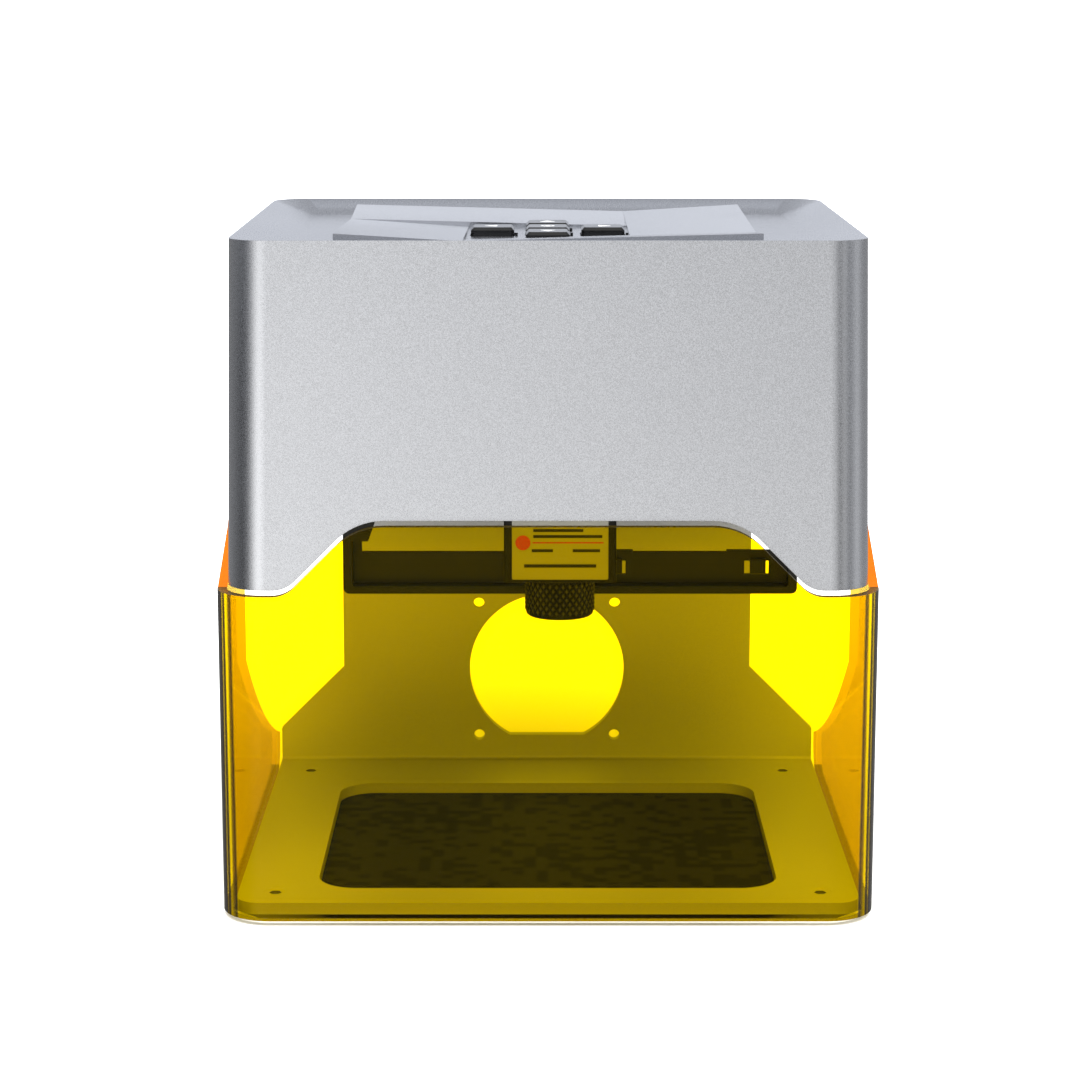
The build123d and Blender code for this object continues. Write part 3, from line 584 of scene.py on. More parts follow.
@dataclass(frozen=True)
class AmberSheet(Finish):
    """Clear amber acrylic, deeper where it is seen edge on."""

    through: Triple = (1.0, 0.825, 0.0015)
    edge_on: Triple = (0.95, 0.74, 0.0012)
    grazing: float = 0.75
    faint: float = 0.012
    curve: float = 5.0
    shade: Triple = (0.97, 0.95, 0.86)

    def tint(self, sheet: Sheet, facing: Wire) -> Wire:
        """What the sheet does to what is seen through it."""
        clear = self.clear(sheet, self.through)
        deep = self.clear(sheet, self.edge_on)
        return self.mix(sheet, facing ** self.curve, clear, deep)

    def draw(self, sheet: Sheet) -> Wire:
        """Tinted see-through sheet under a faint gloss."""
        weight = sheet.node("ShaderNodeLayerWeight", None, {"Blend": 0.5})
        seen = self.tint(sheet, sheet.wire(weight, "Facing"))
        rays = sheet.node("ShaderNodeLightPath")
        unseen = self.clear(sheet, self.shade)
        seen = self.mix(sheet, sheet.wire(rays, "Is Camera Ray"), unseen, seen)
        haze = sheet.noise(sheet.place(), 55.0, 4.0, 0.6).over(0.45, 0.8)
        turned = sheet.wire(weight, "Facing").over(0.3, 0.8)
        gloss = sheet.principled({
            "Base Color": sheet.blend(turned, (0.30, 0.30, 0.31), (0.92, 0.84, 0.66)),
            "Metallic": 1.0, "Roughness": 0.03 + haze * 0.04})
        share = (sheet.wire(weight, "Facing") ** self.curve) * self.grazing
        return self.mix(sheet, share.maths("MAXIMUM", self.faint), seen, gloss)

    @staticmethod
    def clear(sheet: Sheet, colour: Triple) -> Wire:
        """A see-through shader of one colour."""
        made = sheet.node("ShaderNodeBsdfTransparent", None, {"Color": (*colour, 1.0)})
        return sheet.wire(made)

    @staticmethod
    def mix(sheet: Sheet, share: Value, first: Wire, second: Wire) -> Wire:
        """Mix two shaders."""
        return sheet.wire(sheet.node("ShaderNodeMixShader", None, {0: share, 1: first, 2: second}))


@dataclass(frozen=True)
class AmberBend(AmberSheet):
    """Outside of the sheet's rounded corners, with painted dark streaks where it turns away."""

    grazing: float = 0.10
    painted_reflection_streaks: tuple[tuple[float, float], ...] = (
        (0.330, 0.0), (0.350, 0.55), (0.366, 0.94), (0.394, 0.74), (0.423, 0.55),
        (0.452, 0.28), (0.484, 0.0), (0.505, 0.30), (0.525, 0.92), (0.560, 1.0),
        (0.585, 0.84), (0.603, 0.60), (0.625, 0.76), (0.650, 1.0), (1.0, 1.0))

    def tint(self, sheet: Sheet, facing: Wire) -> Wire:
        """Painted dark streaks, standing in for the reflections that a thick bend shows."""
        clear = AmberSheet.tint(self, sheet, facing)
        # Near-black shader for the painted reflection streaks, mixed in by the ramp below.
        dark = sheet.principled({
            "Base Color": (0.012, 0.008, 0.003), "Roughness": 0.25, "Specular IOR Level": 0.12})
        stops = [(place, (dim, dim, dim)) for place, dim in self.painted_reflection_streaks]
        lines = sheet.wire(sheet.node("ShaderNodeValToRGB", {"stops": stops}, {0: facing}))
        return self.mix(sheet, lines, clear, dark)


@dataclass(frozen=True)
class AmberCut(Finish):
    """Cut edge of the amber sheet: part painted glow, part see-through."""

    colour: Triple = (0.10, 0.02, 0.0)
    light: Triple = (0.92, 0.195, 0.002)
    glow: float = 0.92
    body: float = 1.0
    through: Triple = (0.85, 0.50, 0.0)

    def draw(self, sheet: Sheet) -> Wire:
        """Saw lines along the cut over a painted glow in the sheet's colour."""
        saw = sheet.noise(sheet.place((900.0, 900.0, 60.0)), 1.0, 2.0)
        depth = sheet.noise(sheet.place(), 70.0, 2.0)
        pale = (min(1.0, self.light[0] * 1.05), self.light[1] * 1.25, self.light[2])
        # Painted glow: the emission lights the cut edge, which is no lamp.
        solid = sheet.principled({
            "Base Color": self.colour, "Roughness": 0.22 + saw * 0.12, "Specular IOR Level": 0.1,
            "Emission Color": sheet.blend(depth.over(0.3, 0.7), self.light, pale),
            "Emission Strength": self.glow, "Normal": sheet.bump(saw, 0.08, 0.00005)})
        clear = AmberSheet.clear(sheet, self.through)
        return AmberSheet.mix(sheet, self.body * (0.9 + saw * 0.1), clear, solid)


@dataclass(frozen=True)
class SatinBlack(Finish):
    """Black coating or anodising on metal, worn a little in random patches."""

    colour: Triple = (0.035, 0.035, 0.037)
    roughness: float = 0.42
    metallic: float = 0.35
    grain: float = 1500.0
    gloss: float = 0.35

    def draw(self, sheet: Sheet) -> Wire:
        """Fine orange peel, dust and faint rubbing."""
        place = sheet.place()
        peel = sheet.noise(place, self.grain, 2.0, 0.5)
        rub = sheet.noise(place, 90.0, 5.0, 0.65).over(0.60, 0.82)
        dust = sheet.noise(place, 420.0, 3.0, 0.7).over(0.66, 0.9)
        worn = tuple(c * 2.2 + 0.01 for c in self.colour)
        colour = sheet.blend(rub * 0.45, self.colour, worn)
        colour = sheet.blend(dust * 0.15, colour, (0.16, 0.16, 0.15))
        return sheet.principled({
            "Base Color": colour, "Metallic": self.metallic, "Specular IOR Level": self.gloss,
            "Roughness": self.roughness + (peel - 0.5) * 0.14 + dust * 0.15,
            "Normal": sheet.bump(peel, 0.15, 0.0001)})


@dataclass(frozen=True)
class KnurledMetal(Finish):
    """Black anodised knurl, with painted highlights on its raised diamonds and painted shade in its grooves."""

    centre: Point = (0.0, 0.0)
    radius: float = 9.5 * MM
    depth: float = 0.5 * MM
    # Painted shade colour in the grooves and painted highlight colour on the crowns.
    groove: Triple = (0.014, 0.014, 0.013)
    crown: Triple = (0.125, 0.125, 0.12)

    def draw(self, sheet: Sheet) -> Wire:
        """Paler and smoother the farther out it stands, as painted highlight and painted shade."""
        x, y, _ = sheet.parts(sheet.place(at=(-self.centre[0], -self.centre[1], 0.0)))
        reach = (x * x + y * y) ** 0.5
        # Mask of the painted highlight: one on the crowns, zero in the grooves.
        out = reach.over(self.radius - self.depth * 0.75, self.radius - self.depth * 0.30)
        rub = sheet.noise(sheet.place(), 2600.0, 2.0)
        return sheet.principled({
            "Base Color": sheet.blend(out * (0.55 + rub * 0.6), self.groove, self.crown),
            "Metallic": 0.7, "Roughness": 0.42 - out * 0.12, "Specular IOR Level": 0.3,
            "Normal": sheet.bump(rub, 0.12, 0.00005)})


@dataclass(frozen=True)
class Moulded(Finish):
    """Moulded plastic with a spark-eroded grain."""

    colour: Triple = (0.04, 0.04, 0.042)
    roughness: float = 0.5
    grain: float = 1100.0

    def draw(self, sheet: Sheet) -> Wire:
        """Soft grain with slight colour drift."""
        place = sheet.place()
        cells = sheet.cells(place, self.grain)
        drift = sheet.noise(place, 45.0, 2.0)
        pale = tuple(min(1.0, c * 1.35 + 0.01) for c in self.colour)
        return sheet.principled({
            "Base Color": sheet.blend(drift, self.colour, pale),
            "Roughness": self.roughness + (cells - 0.4) * 0.12,
            "Normal": sheet.bump(cells, 0.18, 0.00012)})


@dataclass(frozen=True)
class GlossKey(Finish):
    """Glossy black key with fine touch marks."""

    def draw(self, sheet: Sheet) -> Wire:
        """Deep black under a hard clear surface."""
        place = sheet.place()
        prints = sheet.noise(place, 260.0, 4.0, 0.7).over(0.5, 0.75)
        wave = sheet.noise(place, 700.0, 1.0)
        return sheet.principled({
            "Base Color": sheet.blend(prints * 0.3, (0.004, 0.004, 0.004), (0.012, 0.012, 0.012)),
            "Roughness": 0.14 + prints * 0.08, "Specular IOR Level": 0.3,
            "Coat Weight": 0.15, "Coat Roughness": 0.08,
            "Normal": sheet.bump(wave, 0.03, 0.0001)})


@dataclass(frozen=True)
class Printed(Finish):
    """Printed ink, slightly uneven."""

    colour: Triple = (0.85, 0.85, 0.84)
    roughness: float = 0.45

    def draw(self, sheet: Sheet) -> Wire:
        """Ink with a fine screen texture."""
        place = sheet.place()
        patch = sheet.noise(place, 1800.0, 3.0, 0.7)
        thin = tuple(c * 0.72 for c in self.colour)
        return sheet.principled({
            "Base Color": sheet.blend(patch.over(0.35, 0.6), thin, self.colour),
            "Roughness": self.roughness + patch * 0.1,
            "Normal": sheet.bump(patch, 0.1, 0.00004)})


@dataclass(frozen=True)
class TurnedMetal(Finish):
    """Ground or turned metal with fine lines round or along it."""

    colour: Triple = (0.55, 0.56, 0.58)
    roughness: float = 0.24
    lines: Triple = (1.0, 1.0, 1.0)

    def draw(self, sheet: Sheet) -> Wire:
        """Directional lines over a slight tarnish."""
        streak = sheet.noise(sheet.place(self.lines), 900.0, 3.0, 0.7)
        tarnish = sheet.noise(sheet.place(), 120.0, 4.0, 0.6).over(0.5, 0.85)
        dull = tuple(c * 0.6 for c in self.colour)
        return sheet.principled({
            "Base Color": sheet.blend(tarnish * 0.5, self.colour, dull), "Metallic": 1.0,
            "Roughness": self.roughness + (streak - 0.5) * 0.16 + tarnish * 0.15,
            "Normal": sheet.bump(streak, 0.10, 0.00006)})


@dataclass(frozen=True)
class ScorchedBed(Finish):
    """Dark coated work plate with square scorch marks from test burns."""

    cell: float = 3.1 * MM

    def draw(self, sheet: Sheet) -> Wire:
        """Square patches of slightly different darkness."""
        place = sheet.place()
        u, v, _ = sheet.parts(place)
        column, row = ((way * (1.0 / self.cell)).maths("FLOOR") for way in (u, v))
        corner = sheet.wire(sheet.node("ShaderNodeCombineXYZ", None, {0: column, 1: row, 2: 0.0}))
        patch = sheet.wire(sheet.node(
            "ShaderNodeTexWhiteNoise", {"noise_dimensions": "2D"}, {"Vector": corner}))
        broad = sheet.noise(place, 34.0, 2.0, 0.6)
        burnt = ((patch * 0.55 + broad) > 0.86) * 0.8
        fine = sheet.noise(place, 1400.0, 3.0)
        colour = sheet.blend(burnt, (0.0055, 0.0053, 0.0050), (0.0030, 0.0029, 0.0027))
        colour = sheet.blend(fine.over(0.55, 0.8) * 0.3, colour, (0.012, 0.011, 0.010))
        return sheet.principled({
            "Base Color": colour, "Specular IOR Level": 0.12,
            "Roughness": 0.52 + burnt * 0.15 + fine * 0.1,
            "Normal": sheet.bump(fine, 0.12, 0.0001)})


@dataclass(frozen=True)
class LabelFace(Finish):
    """Pale brushed foil of the module's front plate."""

    def draw(self, sheet: Sheet) -> Wire:
        """Brushed across, with faint stains at random."""
        brush = sheet.noise(sheet.place((0.08, 1.0, 3.0)), 1400.0, 3.0, 0.7)
        stain = sheet.noise(sheet.place(), 150.0, 4.0, 0.6).over(0.55, 0.85)
        colour = sheet.blend(brush * 0.35, (0.34, 0.34, 0.335), (0.27, 0.27, 0.265))
        return sheet.principled({
            "Base Color": sheet.blend(stain * 0.25, colour, (0.22, 0.215, 0.21)),
            "Metallic": 0.25, "Specular IOR Level": 0.3, "Roughness": 0.48 + brush * 0.15,
            "Normal": sheet.bump(brush, 0.06, 0.00005)})


@dataclass(frozen=True)
class Board(Finish):
    """Circuit board with its tracks under green mask."""

    def draw(self, sheet: Sheet) -> Wire:
        """Tracks as slightly raised pale lines."""
        place = sheet.place()
        u, v, _ = sheet.parts(sheet.place((400.0, 400.0, 400.0)))
        lane, other = (abs(way.maths("FRACT") - 0.5) < 0.16 for way in (u, v))
        field_mask = sheet.noise(place, 60.0, 0.0) > 0.5
        tracks = lane * field_mask + other * (1.0 - field_mask)
        colour = sheet.blend(tracks, (0.010, 0.075, 0.030), (0.030, 0.150, 0.060))
        return sheet.principled({
            "Base Color": colour, "Roughness": 0.32 - tracks * 0.08,
            "Normal": sheet.bump(tracks, 0.2, 0.00005)})


@dataclass(frozen=True)
class CoatedLens(Finish):
    """Lens with a violet coating."""

    def draw(self, sheet: Sheet) -> Wire:
        """Clear glass, faintly tinted where it is seen edge on."""
        made = sheet.node("ShaderNodeLayerWeight", None, {"Blend": 0.35})
        weight = sheet.wire(made, "Facing")
        speck = sheet.noise(sheet.place(), 900.0, 2.0).over(0.6, 0.9)
        return sheet.principled({
            "Base Color": sheet.blend(weight, (0.75, 0.80, 0.95), (0.45, 0.35, 0.80)),
            "Roughness": 0.02 + speck * 0.04, "Transmission Weight": 0.85, "IOR": 1.6})


@dataclass(frozen=True)
class PaleFloor(Finish):
    """Plain studio floor, with painted shade in the narrow gap under the machine."""

    # Half sizes and cut-off corner of the painted shade patch under the machine.
    shaded: Point = (80.0 * MM, 66.0 * MM)
    shaded_corner: float = 8.0 * MM

    def draw(self, sheet: Sheet) -> Wire:
        """Pale surface, lit from within away from the machine, with painted shade under it."""
        drift = sheet.noise(sheet.place(), 3.0, 1.0)
        colour = sheet.blend(drift * 0.1, (0.93, 0.93, 0.93), (0.91, 0.91, 0.915))
        x, y, _ = sheet.parts(sheet.place())
        # Painted shade: a near-black patch where the machine stands, with its corners cut off.
        corner = abs(x) + abs(y) < sum(self.shaded) - self.shaded_corner
        under = (abs(x) < self.shaded[0]) * (abs(y) < self.shaded[1]) * corner
        colour = sheet.blend(under, colour, (0.02, 0.02, 0.02))
        length = sheet.node("ShaderNodeVectorMath", {"operation": "LENGTH"}, {0: sheet.place()})
        away = sheet.wire(length, "Value")
        glow = sheet.blend(away.over(0.085, 0.6) ** 0.6, (0.0, 0.0, 0.0), (1.3, 1.3, 1.3))
        return sheet.principled({
            "Base Color": colour, "Roughness": 0.85,
            "Emission Color": glow, "Emission Strength": 1.0})


class Finishes:
    """Every finish that the machine uses."""

    HOOD = BlastedMetal("hood_blasted")
    PANEL = BlastedMetal("panel_blasted", (0.60, 0.605, 0.62), 0.20, 4200.0, 0.05)
    PLATE = BlastedMetal("plate_blasted", (0.56, 0.56, 0.565), 0.44, 3600.0, 0.09, 0.6)
    # Darker copy of the plate finish for its front faces: painted shade.
    PLATE_FRONT_SHADE = BlastedMetal("plate_front_shade", (0.25, 0.25, 0.252), 0.50, 3600.0, 0.09, 0.5)
    AMBER = AmberSheet("amber_sheet")
    AMBER_BEND = AmberBend("amber_bend")
    # The cut-edge finishes differ in painted glow by place: faint on the front cuts, strong on the arms and foot,
    # medium on the sides.
    AMBER_CUT = AmberCut("amber_cut", (0.02, 0.012, 0.0), (0.30, 0.20, 0.01), 0.08)
    AMBER_EDGE = AmberCut("amber_edge")
    AMBER_FOOT = AmberCut("amber_foot", (0.05, 0.03, 0.0), (0.26, 0.19, 0.012), 0.8)
    AMBER_SIDE = AmberCut(
        "amber_side", (0.10, 0.05, 0.0), (0.85, 0.50, 0.01), 0.45, 0.22, (0.97, 0.78, 0.0015))
    BEAM = SatinBlack("beam_coat", (0.008, 0.008, 0.008), 0.46, 0.2)
    LASER = SatinBlack("laser_anodised", (0.005, 0.005, 0.005), 0.36, 0.5, 2600.0)
    SCREW = SatinBlack("screw_oxide", (0.030, 0.030, 0.032), 0.32, 0.8)
    # Dark finish for the inside of the screw sockets: painted shade in the recess.
    SOCKET_SHADE = SatinBlack("screw_socket", (0.11, 0.11, 0.11), 0.5, 0.5)
    RAIL = SatinBlack("rail_oxide", (0.05, 0.05, 0.052), 0.22, 0.9)
    RUBBER = Moulded("foot_rubber", (0.018, 0.018, 0.018), 0.75, 700.0)
    PLASTIC = Moulded("moulded_black")
    NYLON = Moulded("nylon_white", (0.72, 0.72, 0.70), 0.42, 500.0)
    KEY = GlossKey("key_black")
    MARK = Printed("mark_white")
    RED_MARK = Printed("mark_red", (0.50, 0.022, 0.012))
    GREY_MARK = Printed("mark_grey", (0.012, 0.012, 0.012), 0.6)
    STEEL = TurnedMetal("bright_steel")
    CAN = TurnedMetal("motor_can", (0.50, 0.51, 0.53), 0.30)
    BRASS = TurnedMetal("turned_brass", (0.72, 0.50, 0.20), 0.22)
    BRONZE = TurnedMetal("sintered_bronze", (0.45, 0.27, 0.12), 0.38)
    BED = ScorchedBed("scorched_bed")
    LABEL = LabelFace("label_face")
    BOARD = Board("board_mask")
    LENS = CoatedLens("coated_lens")
    FLOOR = PaleFloor("pale_floor")


def dress(piece: Piece, *finishes: Finish) -> None:
    """Give a piece its materials, in slot order."""
    piece.data.materials.clear()
    for finish in finishes:
        piece.data.materials.append(finish.material())


def place_piece(
    piece: Piece, body: Union[Body, str], finish: Finish, nodes: Sequence[str] = (),
) -> None:
    """Dress a piece, hang it on its body and hide the nodes it stands for.

    Args:
        piece: The finished mesh.
        body: The body it rides on.
        finish: Its surface, unless it's already dressed.
        nodes: CAD nodes that it replaces.
    """
    if len(piece.data.materials) == 0:
        dress(piece, finish)
    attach(piece, body.value if isinstance(body, Body) else body)
    if nodes:
        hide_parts(*nodes)
    LOG.info("%s: %d faces on %s", piece.name, len(piece.data.polygons), body)


# ---------------------------------------------------------------- sub-assemblies


@dataclass
class Arch:
    """Curve of the hood's lower front edge, which the visor follows."""

    low: float
    rise: float = 17.4 * MM
    half_top: float = 47.0 * MM
    radius_top: float = 17.0 * MM
    radius_foot: float = 8.0 * MM
    reach: float = 110.0 * MM

    def outline(self, drop: float, floor: float) -> list[Point]:
        """Area under the arch, in X and Z.

        Args:
            drop: How far the whole curve is lowered.
            floor: The lower limit of the area.

        Returns:
            The closed outline.
        """
        foot = self.half_top + self.rise
        low = self.low - drop
        side = [
            Corner(self.half_top, low + self.rise, self.radius_top),
            Corner(foot, low, self.radius_foot),
            Corner(self.reach, low),
            Corner(self.reach, floor),
        ]
        return rounded(mirrored(side), 14)


@dataclass
class Hood:
    """Silver shell with an arched front edge and a dished roof."""

    wall: float = 2.0 * MM
    draft: float = 1.8 * MM
    corner: float = 10.0 * MM
    rim_flat: float = 0.5 * MM
    rim_width: float = 11.75 * MM
    dish_depth: float = 3.75 * MM
    dish_corner: float = 1.5 * MM
    key_gap: float = 0.2 * MM
    key_corner: float = 0.6 * MM
    pivot_hole: float = 2.1 * MM
    edge: float = 0.35 * MM
    steps: int = 14

    def plan(self, z_share: float, inset: float, corner: float) -> list[Point]:
        """Outline of the hood in X and Y at a share of its height."""
        low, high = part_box("hood_shell")
        half = high.x - self.draft * z_share - inset
        return rounded_rectangle((-half, half), (low.y + inset, high.y - inset), corner, self.steps)

    def rear_holes(self, back: float) -> list[Piece]:
        """Cutters for the screws in the rear wall."""
        limits = (back - self.wall - 0.5 * MM, back + MM)
        return [
            Bench.bar(f"rear_{index}", Chassis.sink_shank, Axis.Y, *limits, place, 32)
            for index, place in enumerate(Chassis.hood_screw_places())]

    def pivot_holes(self, left: float, right: float) -> Piece:
        """Cutter for the hole of each pivot, through both sides."""
        hinge = next(j for j in frame["joints"] if j["child"] == "visor")
        _, y, z = hinge["pos_m"]
        return Bench.bar("pivots", self.pivot_hole, Axis.X, left - MM, right + MM, (y, z), 32)

    def build(self) -> None:
        """Model the shell and its openings."""
        low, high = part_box("hood_shell")
        floor = high.z - self.dish_depth
        roof = floor - self.wall
        share = (roof - low.z) / (high.z - low.z)
        foot, top = (self.plan(end, 0.0, self.corner) for end in (0.0, 1.0))
        shell = Bench.prism("hood", foot, Axis.Z, low.z, high.z, top)
        foot, top = (self.plan(end, self.wall, self.corner - self.wall) for end in (0.0, share))
        hollow = Bench.prism("hollow", foot, Axis.Z, low.z - MM, roof, top)
        rim = self.plan(1.0, self.rim_flat, self.corner - self.rim_flat)
        bottom = self.plan(1.0, self.rim_width, self.dish_corner)
        dish = Bench.prism("dish", bottom, Axis.Z, floor, high.z, rim)
        lid = Bench.prism("lid", rim, Axis.Z, high.z, high.z + 2 * MM)
        Bench.cut(shell, hollow, Bench.unite(dish, lid))
        under = Arch(low.z).outline(0.0, low.z - 30 * MM)
        Bench.cut(shell, Bench.prism(
            "arch", under, Axis.Y, low.y - 2 * MM, low.y + self.wall + 0.5 * MM))
        half = KeyPad.size / 2 + self.key_gap
        for index, key in enumerate(KeyPad.names()):
            key_low, key_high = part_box(f"button_{key}")
            middle = (key_low + key_high) / 2
            hole = rounded_square(middle.x, middle.y, half, self.key_corner, 3)
            Bench.cut(shell, Bench.prism(f"hole_{index}", hole, Axis.Z, roof - MM, floor + MM))
        Bench.cut(shell, *self.rear_holes(high.y), *Chassis.sockets())
        Bench.cut(shell, self.pivot_holes(low.x, high.x))
        Bench.soften(shell, self.edge, 3)
        place_piece(shell, Body.CHASSIS, Finishes.HOOD, ["hood_shell"])


@dataclass
class ControlPanel:
    """Four tilted facets turned about the key well."""

    high: float = 4.2 * MM
    low: float = 2.35 * MM
    recess: float = 42.0 * MM
    peg: float = 1.8 * MM
    edge: float = 0.12 * MM

    def facet(self, name: str, x: Point, y: Point, peak: Point, floor: float) -> Piece:
        """One facet: a block whose top tilts up to its outer corner.

        Args:
            name: The facet's name.
            x: Its limits along X.
            y: Its limits along Y.
            peak: The plan position of its highest corner.
            floor: The level that it stands on.

        Returns:
            The facet.
        """
        block = Bench.box(name, (x[0], y[0], floor), (x[1], y[1], floor + self.high))
        sunk = 2 * self.low - self.high
        for vertex in block.data.vertices:
            if vertex.co.z > floor + self.high / 2:
                away = int(abs(vertex.co.x - peak[0]) > MM) + int(abs(vertex.co.y - peak[1]) > MM)
                vertex.co.z = floor + (self.high, self.low, sunk)[away]
        return block

    def build(self) -> None:
        """Model the four facets as one panel."""
        low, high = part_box("control_panel")
        floor = low.z + self.peg
        middle = (low.y + high.y) / 2
        side = self.recess / 2
        near, far = middle - side, middle + side
        facets = [
            self.facet("back_left", (low.x, side), (far, high.y), (low.x, high.y), floor),
            self.facet("back_right", (side, high.x), (near, high.y), (high.x, high.y), floor),
            self.facet("front_right", (-side, high.x), (low.y, near), (high.x, low.y), floor),
            self.facet("front_left", (low.x, -side), (low.y, far), (low.x, low.y), floor),
        ]
        panel = Bench.unite(facets[0], *facets[1:])
        Bench.name(panel, "facet_panel")
        Bench.soften(panel, self.edge, 2, 25.0)
        place_piece(panel, Body.CHASSIS, Finishes.PANEL, ["control_panel"])


@dataclass
class KeyPad:
    """Five square keys with their printed marks."""

    size: float = 11.2 * MM
    corner: float = 0.9 * MM
    top_corner: float = 0.8
    bevel: float = 0.75 * MM
    edge: float = 0.14 * MM
    stand: float = 2.2 * MM
    roof: float = 2.1 * MM
    flange: float = 1.2 * MM
    plunger: float = 1.6 * MM
    mark_size: float = 2.3 * MM
    mark_height: float = 0.03 * MM
    mark_corner: float = 0.25 * MM
    ring: Triple = (0.8, 0.56, 0.26)
    arrow: Point = (0.5, 0.95)

    @staticmethod
    def names() -> list[str]:
        """Names of the keys, as their nodes have them."""
        return ["up", "down", "left", "right", "ok"]

    def key(self, name: str) -> None:
        """Model one key: cap, flange and plunger."""
        low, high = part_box(f"button_{name}")
        middle = (low + high) / 2
        half, x, y = self.size / 2, middle.x, middle.y
        base = high.z - self.stand - self.roof - self.flange
        neck = high.z - self.bevel
        plan = rounded_square(x, y, half, self.corner, 5)
        top = rounded_square(x, y, half - self.bevel, self.corner * self.top_corner, 5)
        cap = Bench.prism(f"key_{name}", plan, Axis.Z, base, neck)
        crown = Bench.prism("crown", plan, Axis.Z, neck, high.z, top)
        flange = Bench.box("flange", (low.x, low.y, base), (high.x, high.y, base + self.flange))
        plunger = Bench.bar(
            "plunger", self.plunger, Axis.Z, low.z, base + 0.5 * MM, (x, y), 24)
        Bench.unite(cap, crown, flange, plunger)
        Bench.soften(cap, self.edge, 3, 25.0)
        place_piece(cap, f"key_{name}", Finishes.KEY, [f"button_{name}"])

    def mark(self, name: str, icon: Icon) -> None:
        """Print one mark on its key."""
        low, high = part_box(f"button_{name}")
        x, y = (low.x + high.x) / 2, (low.y + high.y) / 2
        bottom, top = high.z, high.z + self.mark_height
        if icon is Icon.RING:
            outer, inner, dot = (self.mark_size * share for share in self.ring)
            ring = Bench.bar("ring", outer, Axis.Z, bottom, top, (x, y), 40)
            Bench.cut(ring, Bench.bar("bore", inner, Axis.Z, bottom - MM, top + MM, (x, y), 40))
            piece = Bench.unite(ring, Bench.bar("dot", dot, Axis.Z, bottom, top, (x, y), 24))
        else:
            turn = math.radians(icon.value)
            back, side = -self.mark_size * self.arrow[0], self.mark_size * self.arrow[1]
            corners = [
                Corner(
                    x + u * math.cos(turn) - v * math.sin(turn),
                    y + u * math.sin(turn) + v * math.cos(turn), self.mark_corner)
                for u, v in ((self.mark_size, 0.0), (back, side), (back, -side))]
            piece = Bench.prism("arrow", rounded(corners, 4), Axis.Z, bottom, top)
        Bench.name(piece, f"mark_{name}")
        place_piece(piece, f"key_{name}", Finishes.MARK)

    def build(self) -> None:
        """Model every key and its mark."""
        icons = (Icon.UP, Icon.DOWN, Icon.LEFT, Icon.RIGHT, Icon.RING)
        for name, icon in zip(self.names(), icons):
            self.key(name)
            self.mark(name, icon)


class Cover(Enum):
    """Kinds of face on the visor, by material slot."""

    SHEET = 0
    FRONT_CUT = 1
    ARM_CUT = 2
    BEND = 3
    SIDE_CUT = 4
    FOOT_CUT = 5


